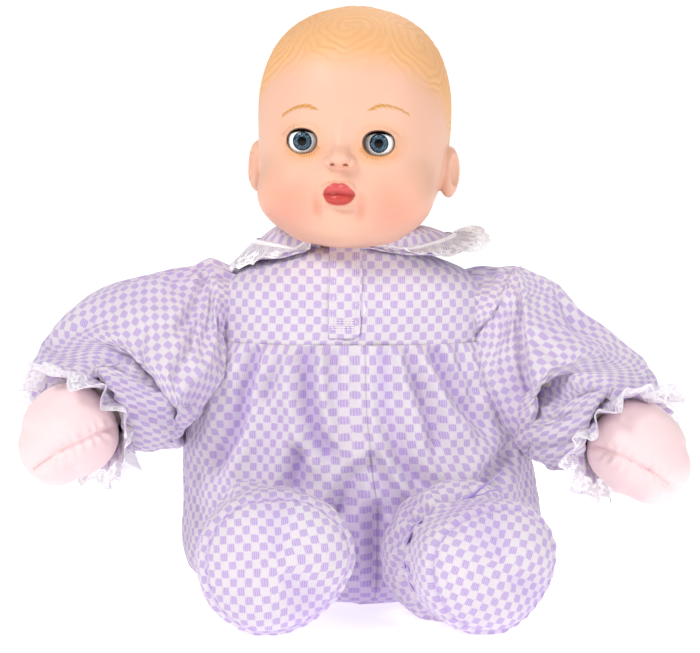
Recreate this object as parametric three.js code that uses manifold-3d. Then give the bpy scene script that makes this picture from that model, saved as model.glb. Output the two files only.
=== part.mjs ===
// A seated soft-bodied baby doll with a squeeze-to-giggle sound module, as an assembly of named parts.
// Millimetres. +Z is up, the doll faces -Y, +X is the doll's own left. The origin is the middle of the seat.
import * as THREE from "three";
import { mergeVertices } from "three/addons/utils/BufferGeometryUtils.js";
import Module from "manifold-3d";

const wasm = await Module();
wasm.setup();

// ---------------------------------------------------------------- driving dimensions
const GAP = 0.35; // between faces that touch on the real doll
const SECTION_POWER = 2.4; // 2 is an ellipse, more is squarer
const TORSO_SIDES = 20;
const ARM_SIDES = 12;
const LEG_SIDES = 16;
const HEAD_SIDES = 20;

// Torso outline with the sleeper on: height, half width, half depth, centre x, centre y.
const TORSO = [
  [0, 42, 22, 3, 8],
  [6, 54, 31, 3, 7],
  [12, 60, 35, 3, 6],
  [22, 64, 39.5, 3, 5],
  [34, 66, 42, 3, 4],
  [48, 65, 42.5, 2, 3],
  [64, 61, 41.5, 0, 3],
  [81, 57, 38.5, -1, 3],
  [98, 54.5, 35.5, -1, 3],
  [112, 54, 32, 0, 4],
  [122, 51, 29, 0, 4],
  [129, 42, 26, 0, 4],
  [134, 30, 23.5, 0, 4],
  [137, 24, 22, 0, 4],
];
// Depth under the sleeper's surface of each layer's outer and inner face.
const SLEEPER = [0, 1.4];
const TORSO_CLOTH = [1.8, 2.9];
const FILLING_DEPTH = 3.3;
const YOKE_SEAM_Z = 98;
const SIDE_SEAM_Y = -7;
const SHOULDER_SEAM_Y = 3;
const PLACKET_X = 4; // the front opening's line, at the doll's left of the middle
const PLACKET_HALF_WIDTH = 6;
const PLACKET_Z = [22, 133];
const COLLAR = { inner: [20.8, 20.8], edge: [40, 27], lace: [46, 30.5], top: 136.5 }; // half axes

// Neck: a flanged, grooved vinyl neck that turns inside a cable tie.
const NECK = { y: 4, hole: 19.8, outer: 17.5, groove: 15.6, flange: 18.8, bore: 12.5 };
const NECK_Z = { bottom: 117.5, flangeTop: 120.5, grooveTop: 127, top: 150 };

// Head: height, half width, half depth, centre y. The face looks along -Y before the head is turned.
const HEAD = [
  [139, 9, 8, -14],
  [141, 18, 18, -12],
  [144.5, 24, 26, -8.5],
  [150, 29.5, 31.5, -4.5],
  [157, 33.2, 36, -1.5],
  [166, 35.4, 39, 1],
  [176, 36.5, 41, 3.5],
  [187, 37.1, 42, 4.5],
  [198, 36.6, 41.5, 5],
  [208, 34.3, 39, 5.5],
  [216, 30.5, 35, 6],
  [223, 24.2, 28.5, 6.5],
  [228, 15.5, 18.5, 7],
  [230.8, 5, 6, 7],
];
const HEAD_WALL = 2.6;
const HEAD_TURN = THREE.MathUtils.degToRad(-7); // towards the doll's right
const HEAD_TILT = THREE.MathUtils.degToRad(1.5); // crown towards the doll's left
const HEAD_PIVOT = new THREE.Vector3(0, NECK.y, 150);
const EYE = { x: 14.7, y: -28.4, z: 180, radius: 6.6, seat: 8.6 };
const EYE_CUP = { inner: 7.3, outer: 8.2, rimY: -1.5 };
const EYE_PIN = { radius: 0.9, hole: 1.15, half: 7.8 };

// Shoulders: the hinge point, the hand's centre and the sleeve's radii along the arm.
const SHOULDER = { ball: 19.6, socket: 20.9 };
const ARMS = {
  right: { shoulder: [-62, 2, 108], hand: [-107, -45, 71] },
  left: { shoulder: [62, 2, 108], hand: [108, -45, 64] },
};
const ARM = { radius: 12.5, wrist: 10.8, bore: 13.2 };
const HAND_RADIUS = 18.3;
const HAND_CUT = 16; // the wrist seam, this far back from the hand's centre
const CUFF_LACE = 5.5; // how far the lace stands past the cuff

// Legs: the hip hinge, the foot's centre and the foot's radius.
const LEGS = {
  right: { hip: [-31, -36.5, 25], foot: [-30, 27.2], footRadius: 27.2 },
  left: { hip: [36, -36.5, 25], foot: [46, 25], footRadius: 25 },
};
const LEG_LENGTH = 66;
const ANKLE_T = 30;
const SOLE_T = 59;

// Sound module: a round case in a pocket at the back of the torso, its axis along Y.
const MODULE = { x: 0, z: 62, front: 10, split: 22, back: 35, radius: 27, wall: 1.6 };
const POCKET = { radius: 28.2, front: 4 };
const BUTTON = { radius: 13, hole: 13.5, flange: 15, rise: 3, travel: 2.5 };
const CELL = { radius: 5.8, thick: 5.2, count: 3, x: -12.2, z: -7 };
const DOOR = { x: [-14, 8], z: [-14.5, 0.5], thick: 1.5 }; // relative to the module's axis

// ---------------------------------------------------------------- geometry helpers
function solid(geometry) {
  const bare = geometry.clone();
  bare.deleteAttribute("normal");
  bare.deleteAttribute("uv");
  const merged = mergeVertices(bare, 1e-4);
  return new wasm.Manifold(
    new wasm.Mesh({
      numProp: 3,
      vertProperties: merged.attributes.position.array,
      triVerts: new Uint32Array(merged.index.array),
    }),
  );
}

function geometryOf(manifold) {
  const mesh = manifold.getMesh();
  const geometry = new THREE.BufferGeometry();
  const points = new THREE.BufferAttribute(mesh.vertProperties, 3);
  geometry.setAttribute("position", points);
  geometry.setIndex(new THREE.BufferAttribute(mesh.triVerts, 1));
  const flat = geometry.toNonIndexed();
  flat.computeVertexNormals();
  return flat;
}

// A closed skin over a row of rings. Each ring has a centre and two half axes; across x up points along the row.
function skin(rings, sides, power = 2) {
  const points = [];
  const faces = [];
  const bend = (v) => Math.sign(v) * Math.abs(v) ** (2 / power);
  for (const { centre, across, up } of rings) {
    for (let i = 0; i < sides; i++) {
      const angle = (i / sides) * 2 * Math.PI;
      const p = centre.clone();
      p.addScaledVector(across, bend(Math.cos(angle)));
      p.addScaledVector(up, bend(Math.sin(angle)));
      points.push(...p.toArray());
    }
  }
  for (let r = 0; r + 1 < rings.length; r++) {
    for (let i = 0; i < sides; i++) {
      const a = r * sides + i;
      const b = r * sides + ((i + 1) % sides);
      faces.push(a, b, b + sides, a, b + sides, a + sides);
    }
  }
  const last = (rings.length - 1) * sides;
  for (let i = 1; i + 1 < sides; i++) {
    faces.push(0, i + 1, i);
    faces.push(last, last + i, last + i + 1);
  }
  const geometry = new THREE.BufferGeometry();
  geometry.setAttribute("position", new THREE.Float32BufferAttribute(points, 3));
  geometry.setIndex(faces);
  return solid(geometry);
}

function block(x, y, z) {
  const box = new THREE.BoxGeometry(x[1] - x[0], y[1] - y[0], z[1] - z[0]);
  box.translate((x[0] + x[1]) / 2, (y[0] + y[1]) / 2, (z[0] + z[1]) / 2);
  return solid(box);
}

function ball(radius, centre, scale = [1, 1, 1], across = 16, down = 12) {
  const sphere = new THREE.SphereGeometry(radius, across, down);
  sphere.scale(...scale);
  sphere.translate(...centre);
  return solid(sphere);
}

// A cylinder from one point to another.
function rod(radius, from, to, sides = 20) {
  const start = new THREE.Vector3(...from);
  const along = new THREE.Vector3(...to).sub(start);
  const cylinder = new THREE.CylinderGeometry(radius, radius, along.length(), sides);
  cylinder.translate(0, along.length() / 2, 0);
  const turn = new THREE.Quaternion().setFromUnitVectors(
    new THREE.Vector3(0, 1, 0),
    along.clone().normalize(),
  );
  cylinder.applyQuaternion(turn);
  cylinder.translate(...start.toArray());
  return solid(cylinder);
}

// A turned solid: profile of [radius, height] about +Z, moved to a centre.
function turned(profile, centre, sides) {
  const lathe = new THREE.LatheGeometry(
    profile.map(([r, h]) => new THREE.Vector2(r, h)),
    sides,
  );
  lathe.rotateX(Math.PI / 2);
  lathe.translate(...centre);
  return solid(lathe);
}

// A turned solid about the module's axis: profile of [radius, y].
function turnedOnModule(profile, sides = 28) {
  const lathe = new THREE.LatheGeometry(
    profile.map(([r, y]) => new THREE.Vector2(r, y)),
    sides,
  );
  lathe.translate(MODULE.x, 0, MODULE.z);
  return solid(lathe);
}

const FAR = 400;
const HALF = {
  above: (z) => block([-FAR, FAR], [-FAR, FAR], [z, FAR]),
  below: (z) => block([-FAR, FAR], [-FAR, FAR], [-FAR, z]),
  front: (y) => block([-FAR, FAR], [-FAR, y], [-FAR, FAR]),
  back: (y) => block([-FAR, FAR], [y, FAR], [-FAR, FAR]),
  left: (x) => block([x, FAR], [-FAR, FAR], [-FAR, FAR]),
  right: (x) => block([-FAR, x], [-FAR, FAR], [-FAR, FAR]),
};

// ---------------------------------------------------------------- materials
function finish(colour, roughness, metalness = 0) {
  return new THREE.MeshStandardMaterial({ color: colour, roughness, metalness });
}
const MATERIALS = {
  sleeper: finish(0xdccff0, 0.9),
  lace: finish(0xf6f4fb, 0.9),
  ribbon: finish(0xc9b3ec, 0.5),
  vinyl: finish(0xf6c9a8, 0.45),
  hand: finish(0xfbe3e1, 0.7),
  muslin: finish(0xf3ece0, 0.95),
  filling: finish(0xfafafa, 1.0),
  eye: finish(0xf4f4f2, 0.1),
  lash: finish(0x2a1d18, 0.6),
  steel: finish(0x9a9ca0, 0.35, 1.0),
  caseShell: finish(0xe9e9ec, 0.5),
  button: finish(0xf2a6bd, 0.45),
  board: finish(0x1f6b3c, 0.5),
  black: finish(0x1a1a1c, 0.5),
  cell: finish(0xc4c6c9, 0.3, 1.0),
  nylon: finish(0xf0f0ee, 0.5),
  elastic: finish(0xf3f0f6, 0.85),
};

const doll = new THREE.Group();
function add(name, manifold, material) {
  const mesh = new THREE.Mesh(geometryOf(manifold), MATERIALS[material]);
  mesh.name = name;
  doll.add(mesh);
}

// ---------------------------------------------------------------- torso and sleeper
// The torso's form, drawn in by depth. An open one runs on upwards, past the neck.
function torsoForm(depth, open = false) {
  const rings = TORSO.map(([z, halfWidth, halfDepth, x, y], i) => {
    const first = i === 0 ? depth : 0;
    const last = i === TORSO.length - 1 ? -depth : 0;
    return {
      centre: new THREE.Vector3(x, y, z + first + last),
      across: new THREE.Vector3(halfWidth - depth, 0, 0),
      up: new THREE.Vector3(0, halfDepth - depth, 0),
    };
  });
  if (open) {
    const top = rings[rings.length - 1];
    rings.push({ ...top, centre: top.centre.clone().setZ(top.centre.z + 12) });
  }
  return skin(rings, TORSO_SIDES, SECTION_POWER);
}

const neckHole = rod(NECK.hole, [0, NECK.y, 116.5], [0, NECK.y, 160], 24);
const shoulderSockets = Object.values(ARMS).map(({ shoulder }) => {
  return ball(SHOULDER.socket, shoulder, [1, 1, 1], 12, 10);
});

function withoutSockets(part) {
  return shoulderSockets.reduce((left, socket) => left.subtract(socket), part);
}

function buildSleeperBody() {
  const shell = withoutSockets(torsoForm(SLEEPER[0]).subtract(torsoForm(SLEEPER[1], true)));
  const yoke = shell.intersect(HALF.above(YOKE_SEAM_Z + GAP / 2));
  const skirt = shell.intersect(HALF.below(YOKE_SEAM_Z - GAP / 2));
  const layers = [["yoke", yoke, SHOULDER_SEAM_Y], ["skirt", skirt, SIDE_SEAM_Y]];
  for (const [name, part, seamY] of layers) {
    const front = part.intersect(HALF.front(seamY - GAP / 2));
    add(`${name}_front_left`, front.intersect(HALF.left(PLACKET_X + GAP / 2)), "sleeper");
    add(`${name}_front_right`, front.intersect(HALF.right(PLACKET_X - GAP / 2)), "sleeper");
    add(`${name}_back`, part.intersect(HALF.back(seamY + GAP / 2)), "sleeper");
  }
}

// A strip down the front, between two heights over the sleeper's surface.
function frontStrip(low, high, halfWidth, z) {
  const layer = torsoForm(-high).subtract(torsoForm(-low, true));
  const x = [PLACKET_X - halfWidth, PLACKET_X + halfWidth];
  return layer.intersect(block(x, [-FAR, 0], z));
}

function buildPlacket() {
  const tapeZ = [PLACKET_Z[0] + 4, PLACKET_Z[1] - 4];
  add("placket", frontStrip(2.1, 3.2, PLACKET_HALF_WIDTH, PLACKET_Z), "sleeper");
  add("placket_hook_tape", frontStrip(1.25, 1.75, PLACKET_HALF_WIDTH - 2, tapeZ), "elastic");
  add("placket_loop_tape", frontStrip(GAP, 0.85, PLACKET_HALF_WIDTH - 2, tapeZ), "elastic");
}

// A flat collar in two halves, each with a lace edging round its outside.
function buildCollar() {
  const layer = torsoForm(-2.1).subtract(torsoForm(-0.6, true)).intersect(HALF.below(COLLAR.top));
  const column = ([halfWidth, halfDepth], extra = 0) => {
    const across = new THREE.Vector3(halfWidth + extra, 0, 0);
    const up = new THREE.Vector3(0, halfDepth + extra, 0);
    return skin([95, 160].map((z) => ({ centre: new THREE.Vector3(0, NECK.y, z), across, up })), 24);
  };
  const frontGap = block([PLACKET_X - 8, PLACKET_X + 8], [-FAR, NECK.y], [0, FAR]);
  const collar = column(COLLAR.edge).subtract(column(COLLAR.inner));
  const lace = column(COLLAR.lace).subtract(column(COLLAR.edge, GAP));
  for (const [name, ring, material] of [["collar", collar, "sleeper"], ["collar_lace", lace, "lace"]]) {
    const whole = layer.intersect(ring).subtract(frontGap);
    add(`${name}_left`, whole.intersect(HALF.left(0.4)), material);
    add(`${name}_right`, whole.intersect(HALF.right(-0.4)), material);
  }
}

function buildTorso() {
  const pocketEnd = [MODULE.x, 90, MODULE.z];
  const pocket = rod(POCKET.radius, [MODULE.x, POCKET.front, MODULE.z], pocketEnd, 32);
  const cloth = withoutSockets(
    torsoForm(TORSO_CLOTH[0]).subtract(torsoForm(TORSO_CLOTH[1])).subtract(neckHole),
  );
  add("torso_cloth", cloth.subtract(pocket), "muslin");
  const flapRod = rod(POCKET.radius - GAP, [MODULE.x, 10, MODULE.z], pocketEnd, 32);
  add("access_flap", cloth.intersect(flapRod), "muslin");
  const filling = withoutSockets(torsoForm(FILLING_DEPTH).subtract(neckHole));
  add("torso_filling", filling.subtract(pocket), "filling");
}

function buildNeckTie() {
  const band = [[16.3, 121.5], [18, 121.5], [18, 126], [16.3, 126], [16.3, 121.5]];
  const ring = turned(band, [0, NECK.y, 0], 20);
  const lock = block([-2.2, 2.2], [NECK.y + 17, NECK.y + 19.2], [121, 126.2]);
  add("neck_cable_tie", ring.add(lock), "nylon");
}

// ---------------------------------------------------------------- head and eyes
function headForm(depth) {
  const rows = HEAD.filter((_, i) => depth === 0 || i % 2 === 0 || i === HEAD.length - 1);
  const rings = rows.map(([z, halfWidth, halfDepth, y], i) => {
    const first = i === 0 ? depth : 0;
    const last = i === rows.length - 1 ? -depth : 0;
    return {
      centre: new THREE.Vector3(0, y, z + first + last),
      across: new THREE.Vector3(Math.max(halfWidth - depth, 1), 0, 0),
      up: new THREE.Vector3(0, Math.max(halfDepth - depth, 1), 0),
    };
  });
  return skin(rings, depth > 0 ? HEAD_SIDES / 2 : HEAD_SIDES);
}

const headTurn = new THREE.Matrix4()
  .makeTranslation(...HEAD_PIVOT.toArray())
  .multiply(new THREE.Matrix4().makeRotationZ(HEAD_TURN))
  .multiply(new THREE.Matrix4().makeRotationY(HEAD_TILT))
  .multiply(new THREE.Matrix4().makeTranslation(...HEAD_PIVOT.clone().negate().toArray()));

function turnedWithHead(manifold) {
  return solid(geometryOf(manifold).applyMatrix4(headTurn));
}

function buildHead() {
  let outside = headForm(0);
  for (const side of [-1, 1]) {
    outside = outside.add(ball(1, [side * 37, 4, 166.5], [3.6, 6.5, 9.4], 12, 8));
  }
  outside = outside.add(ball(1, [0, -38.5, 168.5], [4.6, 4.2, 4], 12, 8)); // nose
  outside = outside.add(ball(1, [0, -37.2, 158], [6.2, 3.8, 4.6], 12, 8)); // lips
  const neckOutside = turned(
    [
      [0, NECK_Z.bottom],
      [NECK.flange, NECK_Z.bottom],
      [NECK.flange, NECK_Z.flangeTop],
      [NECK.groove, NECK_Z.flangeTop],
      [NECK.groove, NECK_Z.grooveTop],
      [NECK.outer, NECK_Z.grooveTop],
      [NECK.outer, NECK_Z.top],
      [0, NECK_Z.top],
    ],
    [0, NECK.y, 0],
    20,
  );
  let head = turnedWithHead(outside).add(neckOutside);
  head = head.subtract(turnedWithHead(headForm(HEAD_WALL)));
  head = head.subtract(rod(NECK.bore, [0, NECK.y, 100], [0, NECK.y, NECK_Z.top + 5], 20));
  for (const side of [-1, 1]) {
    const seat = ball(EYE.seat, [side * EYE.x, EYE.y, EYE.z], [1, 1, 1], 14, 10);
    head = head.subtract(turnedWithHead(seat));
  }
  add("head_shell", head, "vinyl");
}

// One sleep eye: the open cup in the head, and the ball with its pins, weight and lash that rocks in it.
function buildEye(name, side) {
  const centre = [side * EYE.x, EYE.y, EYE.z];
  const at = (dx, dy, dz) => [centre[0] + dx, centre[1] + dy, centre[2] + dz];
  const pinEnds = [at(-EYE_PIN.half, 0, 0), at(EYE_PIN.half, 0, 0)];
  const cup = ball(EYE_CUP.outer, centre, [1, 1, 1], 12, 8)
    .subtract(ball(EYE_CUP.inner, centre, [1, 1, 1], 12, 8))
    .subtract(HALF.front(centre[1] + EYE_CUP.rimY))
    .subtract(rod(EYE_PIN.hole, at(-20, 0, 0), at(20, 0, 0), 12));
  add(`eye_cup_${name}`, turnedWithHead(cup), "nylon");

  const weightFrom = at(0, 1.0, -0.8);
  const pocket = rod(2.9, weightFrom, at(0, 8, -6.4), 12);
  const eyeball = ball(EYE.radius, centre)
    .add(rod(EYE_PIN.radius, ...pinEnds, 12))
    .subtract(pocket);
  add(`eyeball_${name}`, turnedWithHead(eyeball), "eye");
  const weight = rod(2.6, at(0, 1.3, -1.05), at(0, 4.2, -3.4), 12);
  add(`eye_weight_${name}`, turnedWithHead(weight), "steel");

  const lashSlab = new THREE.BoxGeometry(12, 9, 0.7);
  lashSlab.translate(0, -4.9, 0);
  lashSlab.rotateX(THREE.MathUtils.degToRad(-38));
  lashSlab.translate(...centre);
  const lash = ball(7.7, centre, [1, 1, 1], 20, 12)
    .subtract(ball(6.9, centre, [1, 1, 1], 20, 12))
    .intersect(solid(lashSlab));
  add(`eyelash_${name}`, turnedWithHead(lash), "lash");
}

// ---------------------------------------------------------------- arms
// Rings along a limb: rows of [distance along, half width, half height, extra x, extra z].
function limb(start, direction, rows, sides) {
  const along = direction.clone().normalize();
  const across = new THREE.Vector3(0, 0, 1).cross(along).normalize();
  const up = along.clone().cross(across);
  const rings = rows.map(([t, halfWidth, halfHeight, x = 0, z = 0]) => ({
    centre: start.clone().addScaledVector(along, t).add(new THREE.Vector3(x, 0, z)),
    across: across.clone().multiplyScalar(halfWidth),
    up: up.clone().multiplyScalar(halfHeight),
  }));
  return skin(rings, sides);
}

function buildArm(name, { shoulder, hand }) {
  const start = new THREE.Vector3(...shoulder);
  const along = new THREE.Vector3(...hand).sub(start);
  const length = along.length();
  const wrist = length - HAND_CUT;
  const round = (rows) => limb(start, along, rows.map(([t, r]) => [t, r, r]), ARM_SIDES);
  const r = SHOULDER.ball;
  const cap = [-75, -55, -35, -15].map((degrees) => {
    const angle = THREE.MathUtils.degToRad(degrees);
    return [r * Math.sin(angle), r * Math.cos(angle)];
  });
  const sleeve = round([
    ...cap,
    [3, 19],
    [9, 17],
    [14, 15.6],
    [19, 19],
    [26, 26.5],
    [34, 30.5],
    [42, 29],
    [wrist - 10, 21.5],
    [wrist - 4, 15.8],
    [wrist + 1.5, 17.5],
  ]);
  const bore = round([[-30, ARM.bore], [wrist + 10, ARM.bore]]);
  add(`sleeve_${name}`, sleeve.subtract(bore), "sleeper");
  const ruffleEnd = wrist + 1.5 + GAP;
  const lace = round([[ruffleEnd, 17.6], [ruffleEnd + CUFF_LACE, 18.8]]);
  const laceBore = round([[ruffleEnd - 1, 16.6], [ruffleEnd + CUFF_LACE + 1, 17.8]]);
  add(`cuff_lace_${name}`, lace.subtract(laceBore), "lace");
  const arm = round([
    [-14, 5],
    [-10, 9.5],
    [-4, ARM.radius],
    [wrist - 14, ARM.radius],
    [wrist - 8, ARM.wrist],
    [wrist - GAP / 2, ARM.wrist],
  ]);
  add(`arm_${name}`, arm, "muslin");
  const band = round([[wrist - 7, 12.8], [wrist - 2, 12.8]]);
  const bandBore = round([[wrist - 20, ARM.wrist + GAP], [wrist + 20, ARM.wrist + GAP]]);
  add(`cuff_elastic_${name}`, band.subtract(bandBore), "elastic");
  const handBall = [-62, -40, -20, 0, 20, 40, 60, 78].map((degrees) => {
    const angle = THREE.MathUtils.degToRad(degrees);
    return [length + HAND_RADIUS * Math.sin(angle), HAND_RADIUS * Math.cos(angle)];
  });
  const wristRing = [wrist + GAP / 2, 8.4];
  add(`hand_${name}`, round([wristRing, ...handBall.slice(1)]), "hand");
}

// ---------------------------------------------------------------- legs
function buildLeg(name, { hip, foot, footRadius }) {
  const start = new THREE.Vector3(...hip);
  const along = new THREE.Vector3(0, -1, 0);
  const r = footRadius;
  // Distance from the hip, half width, half height, and how far the way to the foot's centre line.
  const outline = [
    [0.5, 17, 3.5, 0],
    [6, 20, 8.5, 0.1],
    [14, 22.5, 14.5, 0.25],
    [22, 22.5, 18.5, 0.45],
    [ANKLE_T, 20.5, 19, 0.65],
    [38, r - 2.5, r - 2.6, 0.85],
    [47, r, r, 1],
    [54, r - 0.6, r - 0.6, 1],
    [SOLE_T, r - 2.6, r - 2.6, 1],
    [63.5, r - 6.5, r - 6.5, 1],
    [LEG_LENGTH, r - 14, r - 14, 1],
  ];
  const form = (depth, rootExtra) => {
    const rows = outline.map(([t, halfWidth, halfHeight, share], i) => {
      const last = i === outline.length - 1 ? -depth : 0;
      const first = i === 0 ? rootExtra : 0;
      const x = (foot[0] - hip[0]) * share;
      const z = (foot[1] - hip[2]) * share;
      return [
        t + last + first,
        Math.max(halfWidth - depth, 1.2),
        Math.max(halfHeight - depth, 1.2),
        x,
        z,
      ];
    });
    return limb(start, along, rows, LEG_SIDES);
  };
  const at = (t) => hip[1] - t;
  const shell = form(0, 0).subtract(form(1.3, -6));
  const beforeAnkle = HALF.back(at(ANKLE_T) + GAP / 2);
  const beforeSole = HALF.back(at(SOLE_T) + GAP / 2);
  add(`pant_leg_${name}`, shell.intersect(beforeAnkle), "sleeper");
  const upper = shell.intersect(HALF.front(at(ANKLE_T) - GAP / 2)).intersect(beforeSole);
  add(`foot_upper_${name}`, upper, "sleeper");
  add(`foot_sole_${name}`, shell.intersect(HALF.front(at(SOLE_T) - GAP / 2)), "sleeper");
  add(`leg_${name}`, form(1.3 + GAP + 0.1, 1.5), "muslin");

  const x = hip[0] + (foot[0] - hip[0]) * 0.65;
  const z = hip[2] + (foot[1] - hip[2]) * 0.65;
  const ribbon = new THREE.TorusGeometry(22, 1, 5, 24);
  ribbon.rotateX(Math.PI / 2);
  ribbon.scale(1, 1.6, 0.95);
  ribbon.translate(x, at(ANKLE_T), z);
  add(`ankle_ribbon_${name}`, solid(ribbon), "ribbon");
}

// ---------------------------------------------------------------- sound module
function cup(floorY, mouthY, radius, wall) {
  const inward = floorY < mouthY ? wall : -wall;
  const rim = radius - wall;
  const profile = [[0, floorY], [radius, floorY], [radius, mouthY], [rim, mouthY]];
  profile.push([rim, floorY + inward], [0, floorY + inward]);
  return inward > 0 ? turnedOnModule(profile) : turnedOnModule(profile.reverse());
}

function buildModule() {
  const { x, z, front, split, back, radius, wall } = MODULE;
  const at = (dx, y, dz) => [x + dx, y, z + dz];
  const screwAt = [21.5, 8];

  let caseFront = cup(front, split - GAP / 2, radius, wall);
  caseFront = caseFront.subtract(rod(BUTTON.hole, at(0, 0, 0), at(0, front + 5, 0), 28));
  let caseBack = cup(back, split + GAP / 2, radius, wall);
  const bay = block(
    [x + DOOR.x[0] + 2, x + DOOR.x[1] - 2],
    [back - 4, back + 4],
    [z + DOOR.z[0] + 1.4, z + DOOR.z[1] - 1.4],
  );
  caseBack = caseBack.subtract(bay);
  // The door's screw runs in a slot that is open towards the way the door slides.
  const slot = block([x + 5.4, x + 24], [back - 4, back + 4], [z - 8.4, z - 5.6]);
  caseBack = caseBack.subtract(slot);
  for (let i = 0; i < 7; i++) {
    const angle = (i / 6) * 2 * Math.PI;
    const reach = i === 6 ? 0 : 5;
    const hole = [reach * Math.cos(angle), 12 + reach * Math.sin(angle)];
    const from = at(hole[0], back - 6, hole[1]);
    caseBack = caseBack.subtract(rod(1.1, from, at(hole[0], back + 6, hole[1]), 8));
  }
  const screwLine = (from, to, r) => rod(r, at(screwAt[0], from, screwAt[1]), at(screwAt[0], to, screwAt[1]), 12);
  caseBack = caseBack.subtract(screwLine(back - 6, back + 6, 1.5));
  const caseScrew = screwLine(split + 4, back + 1, 1.2).add(screwLine(back + GAP, back + 1.6, 2.2));
  add("case_screw", caseScrew, "steel");
  add("module_case_front", caseFront, "caseShell");
  add("module_case_back", caseBack, "caseShell");

  const dome = [[0, front - BUTTON.rise], [7, front - BUTTON.rise + 0.5]];
  dome.push([11.5, front - BUTTON.rise + 1.7], [BUTTON.radius, front - 0.2]);
  dome.push([BUTTON.radius, front + wall + GAP], [BUTTON.flange, front + wall + GAP]);
  dome.push([BUTTON.flange, front + wall + 1.4], [0, front + wall + 1.4]);
  add("press_button", turnedOnModule(dome, 24), "button");

  const boardY = [split - 3, split - 1.6];
  const board = turnedOnModule([[0, boardY[0]], [24.6, boardY[0]], [24.6, boardY[1]], [0, boardY[1]]]);
  const blob = ball(1, at(-12, boardY[1] + 0.2, 12), [3.6, 1.4, 3.6], 12, 8);
  const switchBody = block([x - 3, x + 3], [boardY[0] - 2, boardY[0] + 0.5], [z - 3, z + 3]);
  const pinTip = front + wall + 1.4 + BUTTON.travel + GAP;
  const switchPin = rod(1.4, at(0, pinTip, 0), at(0, boardY[0] - 1.5, 0), 12);
  add("sound_board", board.add(blob).add(switchBody).add(switchPin), "board");

  const turns = 2.25;
  const springFrom = front + wall + 1.4 + 0.75;
  const springTo = boardY[0] - 0.75;
  class Coil extends THREE.Curve {
    getPoint(t, target = new THREE.Vector3()) {
      const angle = t * turns * 2 * Math.PI;
      const y = springFrom + (springTo - springFrom) * t;
      return target.set(x + 9 * Math.cos(angle), y, z + 9 * Math.sin(angle));
    }
  }
  const wire = new THREE.Shape().absarc(0, 0, 0.4, 0, 2 * Math.PI);
  const spring = new THREE.ExtrudeGeometry(wire, {
    steps: 27,
    curveSegments: 2,
    extrudePath: new Coil(),
  });
  add("button_spring", solid(spring), "steel");

  const cone = [[0, back - 6.4], [5, back - 6.4], [10.2, back - 3.4], [10.2, back - wall - GAP], [0, back - wall - GAP]];
  const speaker = turnedOnModule(cone, 20).translate([0, 0, 12]);
  add("speaker", speaker, "black");

  const cellY = back - wall - GAP - CELL.radius;
  for (let i = 0; i < CELL.count; i++) {
    const from = CELL.x + i * (CELL.thick + GAP);
    const to = from + CELL.thick;
    add(`battery_cell_${i + 1}`, rod(CELL.radius, at(from, cellY, CELL.z), at(to, cellY, CELL.z), 16), "cell");
  }
  const stackEnd = CELL.x + CELL.count * (CELL.thick + GAP);
  const plate = (from) => {
    const middle = z + CELL.z;
    return block([x + from, x + from + 0.5], [cellY - 4.4, cellY + 4.4], [middle - 4, middle + 4]);
  };
  add("battery_contact_positive", plate(stackEnd), "steel");
  add("battery_contact_negative", plate(CELL.x - GAP - 0.5), "steel");

  const doorY = [back + GAP, back + GAP + DOOR.thick];
  const door = block([x + DOOR.x[0], x + DOOR.x[1]], doorY, [z + DOOR.z[0], z + DOOR.z[1]]);
  const doorScrewLine = (from, to, r) => rod(r, at(6.6, from, -7), at(6.6, to, -7), 12);
  add("battery_door", door.subtract(doorScrewLine(back - 2, back + 6, 1.3)), "caseShell");
  const doorScrew = doorScrewLine(back - 1, doorY[1] + 1, 1);
  add("door_screw", doorScrew.add(doorScrewLine(doorY[1] + GAP, doorY[1] + 1.3, 2)), "steel");
}

buildSleeperBody();
buildPlacket();
buildCollar();
buildTorso();
buildNeckTie();
buildHead();
buildEye("right", -1);
buildEye("left", 1);
for (const [name, arm] of Object.entries(ARMS)) buildArm(name, arm);
for (const [name, leg] of Object.entries(LEGS)) buildLeg(name, leg);
buildModule();

export default doll;
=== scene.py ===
import math

import bpy
import numpy as np
from mathutils import Matrix, Vector


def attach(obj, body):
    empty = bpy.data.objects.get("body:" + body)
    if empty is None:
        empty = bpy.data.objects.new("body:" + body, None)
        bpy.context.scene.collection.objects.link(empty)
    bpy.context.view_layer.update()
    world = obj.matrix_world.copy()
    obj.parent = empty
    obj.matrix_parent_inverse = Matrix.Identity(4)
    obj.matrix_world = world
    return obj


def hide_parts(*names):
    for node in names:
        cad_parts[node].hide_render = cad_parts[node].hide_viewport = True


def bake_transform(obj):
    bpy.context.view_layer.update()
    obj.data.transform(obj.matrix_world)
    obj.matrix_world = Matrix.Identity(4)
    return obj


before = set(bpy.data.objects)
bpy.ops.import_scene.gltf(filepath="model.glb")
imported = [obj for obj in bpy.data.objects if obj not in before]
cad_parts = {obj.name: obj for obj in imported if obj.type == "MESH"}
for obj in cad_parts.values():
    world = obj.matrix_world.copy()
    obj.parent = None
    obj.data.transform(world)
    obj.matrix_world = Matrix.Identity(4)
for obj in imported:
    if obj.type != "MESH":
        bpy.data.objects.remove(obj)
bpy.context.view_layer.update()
SCENE = bpy.context.scene
# how often the cloth's grids are refined, and a millimetre in the scene's metres
REFINE = 1
MM = 0.001


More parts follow.
